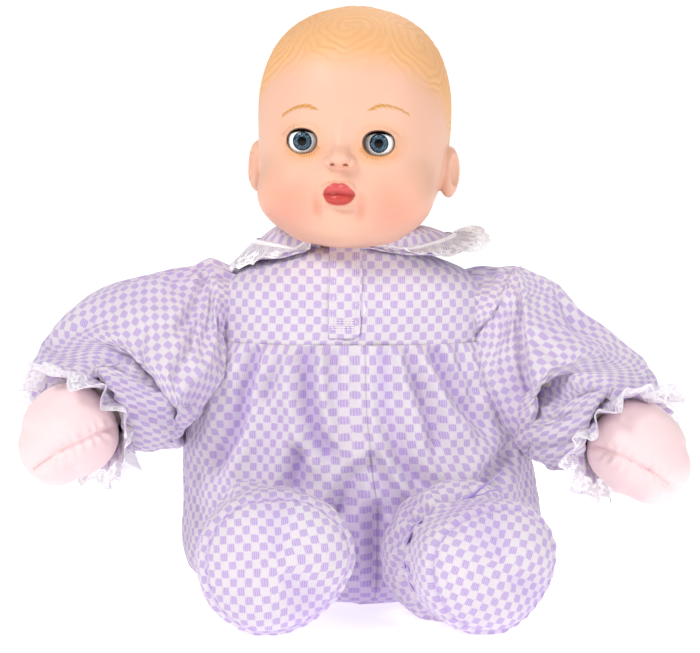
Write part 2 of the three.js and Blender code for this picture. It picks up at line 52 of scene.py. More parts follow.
# ---------------------------------------------------------------- numbers
def lattice(points, seed=0):
    """Smooth noise in -1..1 at points of 2 or 3 coordinates."""
    p = np.asarray(points, float)
    base = np.floor(p).astype(np.int64)
    part = p - base
    part = part * part * (3 - 2 * part)
    total = np.zeros(p.shape[:-1])
    for corner in np.ndindex(*(2,) * p.shape[-1]):
        cell = base + np.array(corner)
        key = np.full(cell.shape[:-1], seed * 7919 + 13, np.int64)
        for k in range(p.shape[-1]):
            key = (key * 31 + cell[..., k]) * 2654435761 % 4294967296
            key = key ^ (key >> 13)
        value = (key * 1103515245 % 4294967296) / 2147483648 - 1
        weight = np.prod(np.where(np.array(corner) == 1, part, 1 - part), -1)
        total += weight * value
    return total


def fractal(points, seed=0, octaves=3):
    return sum(lattice(np.asarray(points) * 2**k, seed + k) / 2**k for k in range(octaves))


def smooth(a, b, x):
    t = np.clip((np.asarray(x, float) - a) / (b - a), 0, 1)
    return t * t * (3 - 2 * t)


def spline(a, b, c, d, f):
    """The smooth curve between b and c, f of the way, with a before them and d after."""
    return 0.5 * (2 * b + (c - a) * f + (2 * a - 5 * b + 4 * c - d) * f**2 + (3 * b - a - 3 * c + d) * f**3)


def through(knots, count):
    """A smooth curve through rows of numbers, as count rows evenly spread over the knots."""
    k = np.asarray(knots, float)
    k = np.vstack([2 * k[0] - k[1], k, 2 * k[-1] - k[-2]])
    s = np.linspace(0, len(k) - 3 - 1e-9, count)
    i = s.astype(int)
    return spline(k[i], k[i + 1], k[i + 2], k[i + 3], (s - i)[:, None])


def unit(v):
    v = np.asarray(v, float)
    return v / np.maximum(np.linalg.norm(v, axis=-1, keepdims=True), 1e-9)


def spans(points):
    """The distances from each row of points to the next."""
    return np.linalg.norm(np.diff(points, axis=0), axis=-1)


def running(steps):
    return np.concatenate([[0], np.cumsum(steps)])


def joined(*parts):
    """Arrays of one shape, or of shapes that stretch to one, side by side along a new last axis."""
    return np.stack(np.broadcast_arrays(*parts), -1)


def bell(x):
    return np.exp(-(x**2))


def circle(count):
    return np.linspace(0, 2 * math.pi, count, endpoint=False)


# ---------------------------------------------------------------- meshes (points in mm)
def mark(mesh, flags):
    """Stores named values, one per point, for the materials."""
    for key, values in flags.items():
        attribute = mesh.attributes.new(key, "FLOAT", "POINT")
        attribute.data.foreach_set("value", np.asarray(values, np.float32).ravel())


def add(name, data):
    made = bpy.data.objects.new(name, data)
    SCENE.collection.objects.link(made)
    return made


def new_object(name, points, faces, uv=None, flags=None, scale=MM):
    """faces is an array of quads or triangles; uv is per face corner; flags are named values per point."""
    mesh = bpy.data.meshes.new(name)
    mesh.from_pydata((np.asarray(points) * scale).tolist(), [], np.asarray(faces).tolist())
    mesh.shade_smooth()
    if uv is not None:
        layer = mesh.uv_layers.new(name="cloth")
        layer.data.foreach_set("uv", np.asarray(uv, np.float32).ravel())
    mark(mesh, flags or {})
    return add(name, mesh)


def grid_faces(rows, cols, wrap):
    r, c = np.meshgrid(np.arange(rows - 1), np.arange(cols if wrap else cols - 1), indexing="ij")
    d = (c + 1) % cols
    quads = np.stack([r * cols + c, r * cols + d, (r + 1) * cols + d, (r + 1) * cols + c], -1)
    return quads.reshape(-1, 4)


def grid_uv(uv):
    """uv is rows x (cols + 1 when wrapped) x 2, one corner set per quad, in units of 100 mm."""
    u = np.asarray(uv) * 0.01
    return np.stack([u[:-1, :-1], u[:-1, 1:], u[1:, 1:], u[1:, :-1]], 2).reshape(-1, 2)


def faces_out(points, faces, inside=None):
    """Turns the faces over where they look towards the inside point; gives them and whether it did."""
    inside = points.mean(0) if inside is None else np.array(inside)
    corners = points[faces]
    normal = np.cross(corners[:, 2] - corners[:, 0], corners[:, 3] - corners[:, 1])
    turned = float(np.sum(normal * (corners.mean(1) - inside))) < 0
    return (faces[:, ::-1] if turned else faces), turned


def grid_object(name, points, uv, wrap=False, keep=None, flags=None, inside=None):
    rows, cols = points.shape[:2]
    flat = points.reshape(-1, 3)
    faces, turned = faces_out(flat, grid_faces(rows, cols, wrap), inside)
    corners = grid_uv(uv).reshape(len(faces), 4, 2)
    corners = corners[:, ::-1] if turned else corners
    flags = {k: np.asarray(v).reshape(-1) for k, v in (flags or {}).items()}
    if keep is not None:
        chosen = keep.reshape(-1)
        faces, corners = faces[chosen], corners[chosen]
        used = np.unique(faces)
        back = np.zeros(len(flat), int)
        back[used] = np.arange(len(used))
        faces, flat = back[faces], flat[used]
        flags = {k: v[used] for k, v in flags.items()}
    return new_object(name, flat, faces, corners.reshape(-1, 2), flags)


def modifier(piece, kind, **settings):
    m = piece.modifiers.new(kind.title(), kind)
    for key, value in settings.items():
        setattr(m, key, value)
    return m


def bake(piece):
    """Replaces a piece's mesh by what its modifiers make."""
    evaluated = piece.evaluated_get(bpy.context.evaluated_depsgraph_get())
    mesh = bpy.data.meshes.new_from_object(evaluated)
    piece.modifiers.clear()
    piece.data = mesh
    return piece


def thick(piece, amount, refine=0):
    if refine:
        modifier(piece, "SUBSURF", levels=refine, render_levels=refine)
    modifier(piece, "SOLIDIFY", thickness=amount * MM, offset=-1)
    return bake(piece)


# ---------------------------------------------------------------- cloth
# a millimetre while the cloth settles, and how stiff and heavy the cloth is
SIM_SCALE = 0.01
CLOTH = {
    "quality": 6,
    "mass": 0.08,
    "air_damping": 2,
    "tension_stiffness": 18,
    "compression_stiffness": 18,
    "shear_stiffness": 6,
    "tension_damping": 8,
    "compression_damping": 8,
    "shear_damping": 6,
    "bending_damping": 0.8,
    "vertex_group_mass": "pin",
    "use_pressure": True,
}


def relax(p, rest, pin, colliders, frames, gravity, pressure, bending, most):
    """Lets a closed grid settle as cloth over solid colliders, no point moving further than most.

    All in mm; rest is the grid as the cloth was cut, and pin holds 0..1 per point.
    """
    flat = p.reshape(-1, 3)
    faces, _ = faces_out(flat, grid_faces(*p.shape[:2], True))
    sheet = new_object("sheet", flat, faces, scale=SIM_SCALE)
    group = sheet.vertex_groups.new(name="pin")
    held = np.round(pin, 2).ravel()
    for value in np.unique(held[held > 0]):
        group.add(np.flatnonzero(held == value).tolist(), float(value), "REPLACE")
    made = [sheet]
    for solid_points, solid_faces in colliders:
        solid = new_object("solid", solid_points, solid_faces, scale=SIM_SCALE)
        modifier(solid, "COLLISION")
        solid.collision.thickness_outer = 0.004
        solid.collision.cloth_friction = 8
        made.append(solid)
    cloth = modifier(sheet, "CLOTH")
    for key, value in {**CLOTH, "bending_stiffness": bending, "uniform_pressure_force": pressure}.items():
        setattr(cloth.settings, key, value)
    cloth.settings.effector_weights.gravity = gravity
    sheet.shape_key_add(name="Basis")
    cut = sheet.shape_key_add(name="Rest")
    cut.data.foreach_set("co", (rest * SIM_SCALE).astype(np.float32).ravel())
    cut.value = 0
    cloth.settings.rest_shape_key = cut
    cloth.collision_settings.distance_min = 0.9 * SIM_SCALE
    cloth.collision_settings.collision_quality = 2
    cloth.collision_settings.use_self_collision = False
    cloth.point_cache.frame_start = 1
    cloth.point_cache.frame_end = frames
    for f in range(1, frames + 1):
        SCENE.frame_set(f)
    evaluated = sheet.evaluated_get(bpy.context.evaluated_depsgraph_get())
    settled = np.zeros(flat.size, np.float32)
    evaluated.to_mesh().vertices.foreach_get("co", settled)
    evaluated.to_mesh_clear()
    for piece in made:
        bpy.data.objects.remove(piece)
    SCENE.frame_set(1)
    settled = settled.reshape(p.shape).astype(float) / SIM_SCALE
    move = np.where(np.isfinite(settled), settled, p) - p
    size = np.linalg.norm(move, axis=-1, keepdims=True)
    return p + move * np.minimum(1, most / np.maximum(size, 1e-6))


# ---------------------------------------------------------------- materials
def colour(code):
    parts = [int(code[i : i + 2], 16) / 255 for i in (0, 2, 4)]
    return tuple(v / 12.92 if v <= 0.04045 else ((v + 0.055) / 1.055) ** 2.4 for v in parts) + (1,)


class Value:
    """One output of a material's nodes, open to plain arithmetic."""

    def __init__(self, shader, socket):
        self.shader, self.socket = shader, socket

    def __add__(self, other):
        return self.shader.calc("ADD", self, other)

    def __sub__(self, other):
        return self.shader.calc("SUBTRACT", self, other)

    def __rsub__(self, other):
        return self.shader.calc("SUBTRACT", other, self)

    def __mul__(self, other):
        return self.shader.calc("MULTIPLY", self, other)

    def __truediv__(self, other):
        return self.shader.calc("DIVIDE", self, other)

    def __abs__(self):
        return self.shader.calc("ABSOLUTE", self)


class Shader:
    """A material with short names for the nodes it is built from."""

    def __init__(self, name, **finish):
        self.material = bpy.data.materials.new(name)
        self.material.use_nodes = True
        self.tree = self.material.node_tree
        self.surface = self.tree.nodes["Principled BSDF"]
        for key, value in finish.items():
            self.set(key, value)

    def put(self, target, value):
        """Feeds an input with another node's value, a number or a colour code."""
        if isinstance(value, Value):
            self.tree.links.new(value.socket, target)
        else:
            target.default_value = colour(value) if isinstance(value, str) else value

    def set(self, key, value):
        self.put(self.surface.inputs[key.replace("_", " ")], value)

    def node(self, kind, inputs, output=0, **settings):
        made = self.tree.nodes.new(kind)
        for key, value in settings.items():
            setattr(made, key, value)
        for key, value in inputs.items():
            self.put(made.inputs[key], value)
        return Value(self, made.outputs[output])

    def calc(self, operation, *values):
        return self.node("ShaderNodeMath", dict(enumerate(values)), operation=operation)

    def ramp(self, value, low, high):
        settings = {"interpolation_type": "SMOOTHSTEP", "clamp": True}
        return self.node("ShaderNodeMapRange", {0: value, 1: low, 2: high}, **settings)

    def mix(self, share, a, b):
        return self.node("ShaderNodeMix", {0: share, 6: a, 7: b}, 2, data_type="RGBA", blend_type="MIX")

    def value(self, name):
        return self.node("ShaderNodeAttribute", {}, "Fac", attribute_name=name)

    def place(self, source="Object"):
        return self.node("ShaderNodeTexCoord", {}, source)

    def noise(self, vector, scale, detail=3.0, rough=0.55):
        inputs = {"Vector": vector, "Scale": scale, "Detail": detail, "Roughness": rough}
        return self.node("ShaderNodeTexNoise", inputs, "Fac")

    def split(self, vector, scale):
        """The vector's three parts, each times scale."""
        parts = self.node("ShaderNodeSeparateXYZ", {0: vector}).socket.node.outputs
        return [Value(self, part) * scale for part in parts]

    def wave(self, value, period):
        return self.calc("SINE", value * (2 * math.pi / period))

    def bump(self, height, depth_mm, strength=1.0):
        inputs = {"Distance": depth_mm * MM, "Strength": strength, "Height": height}
        self.set("Normal", self.node("ShaderNodeBump", inputs))


def cloth_mm(sh):
    """The cloth's own u and v in mm."""
    return sh.split(sh.place("UV"), 100.0)[:2]


# width and height of one check in mm, then the pitch of the knit's ribs and courses
CHECK_SIZE = (2.95, 3.2)
RIB, COURSE = 0.74, 0.62


def check_knit():
    sh = Shader("check_knit", Roughness=0.92, Sheen_Weight=0.35, Sheen_Roughness=0.45, Specular_IOR_Level=0.2)
    sh.set("Sheen_Tint", "F2EAFF")
    where = sh.place()
    u, v = cloth_mm(sh)
    wobble = sh.noise(where, 420, 2) - 0.5
    stitch = sh.noise(where, 1500, 2) - 0.5
    cells = sh.wave(u + wobble * 0.9, 2 * CHECK_SIZE[0]) * sh.wave(v + wobble * 0.8, 2 * CHECK_SIZE[1])
    rib, course = sh.wave(u, RIB), sh.wave(v, COURSE)
    depth = sh.ramp(cells + stitch * 0.35, -0.12, 0.28) * ((rib * 0.5 + 0.5) * 0.45 + 0.42)
    white = sh.mix(sh.noise(where, 60, 2), "E3DDE2", "D9D0DA")
    violet = sh.mix(sh.noise(where, 90, 2), "AC8CD0", "B79BD8")
    flat = sh.mix(depth, white, violet)
    # painted shade: where the fold value is high (fold valleys, hollows, seam grooves) the checks turn a deeper
    # violet
    sh.set("Base_Color", sh.mix(sh.value("fold_shade") * 0.6, flat, sh.mix(depth, "C6B0DE", "9A78CC")))
    sh.bump(rib * (course * 0.3 + 0.7) * 0.5 + stitch, 0.09, 0.8)
    return sh.material


def plain_cloth(name, base, other, pitch=0.5, depth=0.05, roughness=0.85, sheen=0.25):
    sh = Shader(name, Roughness=roughness, Sheen_Weight=sheen, Specular_IOR_Level=0.25)
    where = sh.place()
    x, y, z = sh.split(where, 1000.0)
    weave = sh.wave(x + y * 0.6, pitch) * sh.wave(z + y * 0.4, pitch)
    sh.set("Base_Color", sh.mix(sh.noise(where, 45, 3), base, other))
    sh.bump(weave * 0.5 + sh.noise(where, 1800, 2), depth, 0.7)
    return sh.material


def moulded(name, base, roughness=0.45, metal=0.0):
    sh = Shader(name, Metallic=metal)
    where = sh.place()
    sh.set("Base_Color", sh.mix(sh.noise(where, 70, 3) * 0.25, base, (0.02, 0.02, 0.02, 1)))
    sh.set("Roughness", sh.noise(where, 400, 3) * 0.2 + (roughness - 0.1))
    sh.bump(sh.noise(where, 2500, 2), 0.02, 0.5)
    return sh.material


def lace_net(name, width):
    """Net with flowers, a firm heading and a scalloped edge; v runs across, 0 at the seam."""
    sh = Shader(name, Roughness=0.85, Sheen_Weight=0.3, Specular_IOR_Level=0.3)
    u, v = cloth_mm(sh)
    pitch = 7.5
    du = (sh.calc("FRACT", u / pitch) - 0.5) * pitch
    dv = v - width * 0.58
    reach = sh.calc("SQRT", du * du + dv * dv)
    petal = sh.calc("COSINE", sh.calc("ARCTAN2", dv, du) * 5.0) * 0.8 + 2.5
    edge = abs(sh.wave(u, 2 * pitch)) * 0.7 + abs(sh.wave(u, 3.0)) * 0.4 + (width - 1.1)
    body = sh.ramp(v, 1.3, 1.0)
    for part in (
        sh.ramp(abs(sh.wave(u + v * 1.2, 2.4)), 0.62, 0.42),
        sh.ramp(abs(sh.wave(u - v * 1.2, 2.4)), 0.62, 0.42),
        sh.ramp(reach - petal, 0.25, -0.1) - sh.ramp(reach, 0.75, 0.55) * 0.9,
        sh.ramp(abs(edge - v - 0.8), 0.85, 0.5),
    ):
        body = sh.calc("MAXIMUM", body, part)
    sh.set("Alpha", body * sh.ramp(edge - v, -0.05, 0.05))
    sh.set("Base_Color", sh.mix(sh.noise(sh.place(), 300, 2), "FDFCFF", "F1EEF8"))
    sh.bump(body, 0.15, 0.6)
    return sh.material


CHECK = check_knit()
HAND_CLOTH = plain_cloth("pink_tricot", "F6DCDD", "F4D2D4", 0.42, 0.03, 0.75, 0.3)
MUSLIN = plain_cloth("muslin", "F2EADC", "EADFCC", 0.7, 0.08)
FILLING = plain_cloth("fibre_filling", "FAFAF8", "F0F0EE", 3.0, 0.4)
ELASTIC = plain_cloth("woven_elastic", "F2EEF8", "E6DDF2", 0.9, 0.12)
RIBBON = plain_cloth("lavender_ribbon", "CDB8F0", "BFA6E8", 0.3, 0.03, 0.45, 0.4)


def dress(piece, material, body, slot, *nodes):
    piece.data.materials.clear()
    piece.data.materials.append(material)
    if body:
        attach(piece, body)
    if nodes:
        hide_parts(*nodes)
    return piece


def sewn(piece, amount, refine, body, nodes, fill):
    """Makes a panel of the sleeper: check cloth that thick over stuffing."""
    thick(piece, amount, refine)
    dress(piece, CHECK, body, "sleeper", *nodes)


def panels(stem, points, uv, theta, ends, make, **grid):
    """Makes panels from a closed grid: front left, front right and back.

    ends holds the side seam's and the opening's angles; make the cloth's thickness, refining and filling, the
    filling not used.
    """
    side, opening = np.radians(ends)
    middle = (theta + math.pi / len(theta) + math.pi) % (2 * math.pi) - math.pi
    front, left = np.abs(middle) < side, middle > opening
    for part, chosen in (("front_left", front & left), ("front_right", front & ~left), ("back", ~front)):
        keep = np.broadcast_to(chosen[None], (len(points) - 1, len(theta)))
        piece = grid_object(f"{stem}_{part}_cloth", points, uv, True, keep, **grid)
        sewn(piece, *make[:2], "torso", [f"{stem}_{part}"], make[2])


# ---------------------------------------------------------------- torso form
# height, half width, half depth and the middle's x and y of the sleeper's body
TORSO = np.array(
    [
        [0, 42, 22, 3, 8],
        [6, 54, 31, 3, 7],
        [12, 60, 35, 3, 6],
        [22, 64, 39.5, 3, 5],
        [34, 66, 42, 3, 4],
        [48, 65, 42.5, 2, 3],
        [64, 61, 41.5, 0, 3],
        [81, 57, 38.5, -1, 3],
        [98, 54.5, 35.5, -1, 3],
        [112, 54, 32, 0, 4],
        [122, 51, 29, 0, 4],
        [129, 42, 26, 0, 4],
        [134, 30, 23.5, 0, 4],
        [137, 24, 22, 0, 4],
    ],
    float,
)
TORSO_FINE = through(TORSO, 400)
# height of the yoke's seam, and the power of the body's rounded outline: 2 is an ellipse
YOKE_Z = 102.5
SQUARENESS = 2.4


def torso_section(z):
    """Half width, half depth and middle of the sleeper's body at heights z."""
    return (np.interp(z, TORSO_FINE[:, 0], TORSO_FINE[:, k]) for k in range(1, 5))


def torso_at(theta, z, off=0.0):
    """A point of the sleeper's surface: theta 0 is the front and grows towards +X."""
    hw, hd, cx, cy = torso_section(z)
    s, c = np.sin(theta), np.cos(theta)
    x = cx + (hw + off) * np.sign(s) * np.abs(s) ** (2 / SQUARENESS)
    y = cy - (hd + off) * np.sign(c) * np.abs(c) ** (2 / SQUARENESS)
    return joined(x, y, z)


def outside_torso(p, off):
    """Pushes points out sideways to at least that far off the sleeper's surface."""
    hw, hd, cx, cy = torso_section(p[..., 2])
    x, y = p[..., 0] - cx, p[..., 1] - cy
    rho = (np.abs(x / (hw + off)) ** SQUARENESS + np.abs(y / (hd + off)) ** SQUARENESS) ** (1 / SQUARENESS)
    grow = np.maximum(1 / np.maximum(rho, 0.05), 1)
    return joined(cx + x * grow, cy + y * grow, p[..., 2])


def solid_torso(off, cols=64):
    """The body as a closed solid, off further out than the sleeper's surface."""
    z = np.concatenate([np.linspace(136, 1, 44), [0.6]])
    theta = np.linspace(-math.pi, math.pi, cols, endpoint=False)
    p = torso_at(theta[None], z[:, None], off)
    p = np.concatenate([p, p[-1:] * [0.4, 0.4, 1], p[-1:] * [0.02, 0.02, 1]])
    flat = p.reshape(-1, 3)
    return flat, faces_out(flat, grid_faces(len(p), cols, True))[0]


def girth(p):
    """Distance round each row of a closed grid from its middle column; the first column comes twice."""
    closed = np.concatenate([p, p[:, :1]], 1)
    run = np.cumsum(np.linalg.norm(np.diff(closed, axis=1), axis=-1), 1)
    run = np.concatenate([np.zeros((len(p), 1)), run], 1)
    return run - run[:, p.shape[1] // 2][:, None]


# ---------------------------------------------------------------- skirt: the gathered front and back panels
# deep folds of the front, as rows of points (x, z) with a depth and a width
FOLDS = [
    ([[-18, 101], [-17, 84], [-14, 70], [-6, 58]], 4.2, 3.2),
    ([[32, 101], [41, 84], [52, 68]], 4.0, 3.4),
    ([[-37, 101], [-42, 86], [-48, 68], [-55, 52]], 3.2, 3.4),
    ([[-27, 101], [-31, 90], [-35, 79]], 2.4, 2.2),
    ([[22, 101], [25, 90], [30, 76], [33, 60]], 2.8, 2.4),
    ([[41, 101], [45, 90], [49, 81]], 2.6, 2.4),
    ([[-8, 101], [-7, 90], [-5, 78]], 2.0, 2.0),
    ([[12, 101], [13, 80], [19, 60], [30, 46]], 2.8, 3.0),
    ([[-20, 62], [-24, 48], [-22, 36]], 2.6, 3.4),
    ([[8, 60], [16, 44], [26, 36]], 3.0, 3.2),
    ([[2, 56], [-6, 42], [-14, 32]], 2.8, 3.0),
    ([[9, 40], [10, 24], [8, 8]], 3.4, 3.0),
    ([[56, 60], [48, 48], [38, 42]], 2.6, 3.4),
]


def fold_depth(x, z):
    """How far the drawn folds lift the cloth: down in a fold, up a little on its banks."""
    total = np.zeros(x.shape)
    for line, depth, width in FOLDS:
        nearest = np.full(x.shape, 1e9)
        run = np.zeros(x.shape)
        for k, (a, b) in enumerate(zip(np.array(line, float), np.array(line[1:], float))):
            h = np.clip(((x - a[0]) * (b[0] - a[0]) + (z - a[1]) * (b[1] - a[1])) / ((b - a) @ (b - a)), 0, 1)
            d = np.hypot(x - a[0] - h * (b[0] - a[0]), z - a[1] - h * (b[1] - a[1]))
            run = np.where(d < nearest, k + h, run)
            nearest = np.minimum(nearest, d)
        fade = smooth(-0.3, 0.1, run) * smooth(len(line) - 0.95, len(line) - 1.6, run) * 0.9 + 0.1
        total += depth * fade * (0.45 * bell((nearest - 2.1 * width) / (1.1 * width)) - bell(nearest / width))
    return total


def gathers(theta, drop, x, z):
    """Height of the gathers and folds under the yoke seam."""
    c, s = np.cos(theta), np.sin(theta)
    slow = lattice(joined(c * 5, s * 5, drop / 45), 11)
    uneven = 0.65 + 0.35 * lattice(joined(c * 9, s * 9, 0), 12)
    fine = np.sin(theta * 41 + 3.0 * slow)
    middle = 1 - np.abs(np.sin(theta * 9.5 + 2.2 * slow + 0.006 * drop)) * 2
    h = 1.9 * fine * uneven * np.exp(-drop / 13)
    h = h - 2.4 * np.maximum(middle, 0) ** 1.5 * smooth(0, 10, drop) * np.exp(-drop / 55) * uneven
    h = h + 2.6 * fractal(joined(c * 2.6, s * 2.6, drop / 42), 15, 3) * smooth(5, 30, drop)
    return (h + 1.7 * fold_depth(x, z) * smooth(-0.05, 0.25, c)) * smooth(0, 3.5, drop) * smooth(3, 14, z)


def make_skirt():
    cols, rows, under = ((300, 84, 8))
    theta = np.linspace(-math.pi, math.pi, cols, endpoint=False)
    z = np.concatenate([YOKE_Z - (YOKE_Z - 1) * np.linspace(0, 1, rows - under) ** 1.02, np.full(under, 1.0)])
    T, Z = np.meshgrid(theta, z)
    degrees = np.degrees(T)
    drop = YOKE_Z - Z
    base = 1.3 + 5.0 * smooth(-2, 9, drop) * smooth(2, 16, Z)
    p = torso_at(T, Z, base)
    shrink = np.ones(rows)
    shrink[-under:] = np.linspace(0.9, 0.04, under)
    middle = np.array([3, 8])
    p[..., :2] = middle + (p[..., :2] - middle) * shrink[:, None, None]
    p[-under:, :, 2] = np.linspace(0.7, 0.3, under)[:, None]
    fullness = np.interp(Z, [0, 12, 40, 80, YOKE_Z], [1.04, 1.16, 1.22, 1.32, 1.42])
    cut = p * joined(fullness, fullness, 1.05)
    pin = np.zeros((rows, cols))
    pin[:2] = 1
    pin[Z < 2.2] = 1
    pin[(np.abs(np.abs(T) - math.pi / 2) < 0.28) & (Z > YOKE_Z - 10)] = 0.9
    p = relax(p, cut, pin, [solid_torso(-1.2)], 10, 0.5, 0.5, 0.2, 3)
    p[..., 2] = np.maximum(p[..., 2], 0.25)
    height = gathers(T, drop, p[..., 0], Z)
    # painted shade: the cloth is coloured deeper in the valleys of the gathers and in the hollow between the
    # legs
    shade_between_legs = bell((p[..., 0] - 8) / 20) * smooth(64, 30, Z) * smooth(0, 0.4, np.cos(T))
    shade = np.maximum(np.clip(-height / 6.5, 0, 1), 0.9 * shade_between_legs)
    deepest = 0.2 - base
    height = np.where(height < deepest, deepest + np.tanh(height - deepest), height)
    p = p + joined(np.sin(T), -np.cos(T), 0 * T) * height[..., None]
    strip = smooth(-4.5, -2, degrees) * smooth(13, 10.5, degrees)
    flat_front = np.minimum(p[..., 1], torso_at(T, Z, 3.4)[..., 1])
    p[..., 1] = np.where(strip > 0, p[..., 1] + (flat_front - p[..., 1]) * strip, p[..., 1])
    p[..., 1] -= 1.0 * smooth(4, 5.5, degrees) * smooth(16, 6, degrees) * smooth(4, 12, Z)
    p[:-under] = outside_torso(p[:-under], -0.7)
    p[..., 1] += 1.3 * bell((degrees - 2.5) / 1.5) * smooth(4, 12, Z)
    checks_round = 73
    u = (np.linspace(0, 1, cols + 1)[None] - 0.5) * checks_round * 2 * CHECK_SIZE[0]
    v = -running(spans(torso_at(0.6, z)))
    v[-under:] = v[-under - 1] - np.linspace(4, 30, under)
    panels("skirt", p, joined(u, v[:, None]), theta, (101, 4), (0.5, REFINE, 0.5), flags={"fold_shade": shade})


# ---------------------------------------------------------------- yokes
def make_yokes():
    cols, rows = 200, 46
    theta = np.linspace(-math.pi, math.pi, cols, endpoint=False)
    hem = YOKE_Z - np.array([0.2, 0.9, 1.4])
    z = np.concatenate([np.full(5, 137.2), np.linspace(136.6, YOKE_Z + 1, rows - 8), hem])
    T, Z = np.meshgrid(theta, z)
    off = 1.5 + 0.5 * fractal(joined(np.cos(T) * 6, np.sin(T) * 6, Z / 12), 21, 2)
    off[-3:] -= np.array([0.15, 0.7, 1.6])[:, None]
    p = torso_at(T, Z, off)
    # the neckline's rolled edge: radius and height
    neckline = ((18.2, 137.8), (18.6, 138.9), (19.4, 139.1), (20.6, 138.8), (22.2, 138.1))
    for k, (radius, height) in enumerate(neckline):
        p[k] = joined(radius * 1.04 * np.sin(theta), 4 - radius * np.cos(theta), height)
    p[..., 2] -= 0.6 * smooth(0.6, 1, np.cos(T)) * smooth(130, 140, p[..., 2])
    run = running(spans(p[:, cols // 2]))
    panels("yoke", p, joined(girth(p), -run[:, None]), theta, (91, 2), (0.8, 1, 0.7), inside=(0, 4, 110))


# ---------------------------------------------------------------- front strip, collar
def torso_top(x, y):
    """The height of the sleeper's surface over points of the ground plane."""
    z = np.linspace(138, 96, 80)
    hw, hd, cx, cy = torso_section(z)
    x, y = x[..., None], y[..., None]
    rho = np.abs((x - cx) / (hw + 1.5)) ** SQUARENESS + np.abs((y - cy) / (hd + 1.5)) ** SQUARENESS
    first = np.argmax(rho < 1, axis=-1)
    last = np.maximum(first - 1, 0)
    level, before = (np.take_along_axis(rho, n[..., None], -1)[..., 0] for n in (first, last))
    share = np.clip((before - 1) / np.maximum(before - level, 1e-6), 0, 1) * (first > 0)
    return z[last] + (z[first] - z[last]) * share


def make_placket():
    """The lapped strip down the yoke, its rounded lower end and its rows of stitches."""
    rows, cols = 80, 15
    s = np.linspace(0, 1, rows)[:, None]
    a = np.linspace(-1, 1, cols)[None]
    corner = np.clip((s - 0.88) / 0.12, 0, 1)
    z = 139.4 - 34.2 * s - 0.4 * np.sin(s * 9)
    reach = 6.2 * (1 - corner**3 * 0.55 * smooth(-0.5, 1, a))
    x = -2.6 + a * reach + 0.35 * np.sin(s * 6)
    p = torso_at(np.arcsin(np.clip(x / 52, -1, 1)), np.minimum(z, 137), 2.6)
    p[..., 0] = x
    p[..., 2] = z
    top = smooth(133, 140.5, z)
    p[..., 1] = p[..., 1] * (1 - top) + (4 - 21.4) * top
    p[..., 1] -= 0.5 * smooth(-1, 1, a) + 0.25 * np.cos(a * 3) + 0.12 * fractal(p / 7, 51, 2)
    seams = (-0.72, 0.78)
    for k in seams:
        p[..., 1] += 0.28 * bell((a - k) / 0.09)
    piece = grid_object("placket_cloth", p, joined(x, z * 1.05), inside=(0, 4, 110))
    sewn(piece, 1.3, 1, "torso", ["placket"], 0.4)
    for k in seams:
        column = round((k + 1) / 2 * (cols - 1))
        line = p[6:-6, column] + np.array([0, -0.2, 0])
        make_stitches(f"placket_stitch_{column}", line, "torso", 0.13, "F6F1FA", 1.5, 0.8, "sleeper")
    for k in range(5):
        row = p[-9 - k * 2, 1:-2] + np.array([0, -0.35, 0])
        make_stitches(f"bar_tack_{k}", row, "torso", 0.17, "FBF8FD", 1.1, 0.5, "sleeper")


# each half: its side, and the angles where it starts and stops, in degrees from the front
COLLARS = {"right": (-1, 36, 179), "left": (1, 9, 179)}

LACE_WIDTH = 11.0


def collar_point(side, theta, t):
    """A point of the turned-down collar: theta in degrees from the front, t from neckline to edge."""
    s, c = np.sin(np.radians(theta)), np.cos(np.radians(theta))
    lateral = np.abs(s)
    wing = 3.5 * bell((theta - 92) / 30) if side > 0 else 0
    edge_x, edge_y = 45.5 + wing, 24.0 + 5 * smooth(90, 140, theta)
    full = 1 / np.sqrt((s / edge_x) ** 2 + (c / edge_y) ** 2)
    roll = 22.0 + 7.5 * lateral
    radii = np.stack([19.8 + 0 * s, 21.4 + 2.5 * lateral, roll, roll + (full - roll) * 0.55, full])
    x, y = radii * s, 4 - radii * c
    top = torso_top(x, y)
    rise = 139.5 + 6.0 * lateral**1.4
    z = np.stack([138.4 + 0 * s, rise - 1.2, rise + 0.2, np.maximum(top[3] + 3.0, rise - 6.5), top[4] + 3.4])
    if side > 0:
        lift = bell((theta - 97) / 24)
        z[3] += 3.0 * lift
        z[4] += 12.5 * lift
    knots = joined(x, y, z)
    position = np.clip(t, 0, 1) * 4 - 1e-9
    i = np.clip(position.astype(int), 0, 3)
    padded = np.concatenate([2 * knots[:1] - knots[1:2], knots, 2 * knots[-1:] - knots[-2:-1]])
    near = (np.take_along_axis(padded, (i + k)[None, ..., None], 0)[0] for k in range(4))
    past = np.maximum(t - 1, 0)[..., None] * 4
    p = spline(*near, (position - i)[..., None]) + (knots[4] - knots[3]) * past * 0.8
    p[..., 0] *= side
    return p


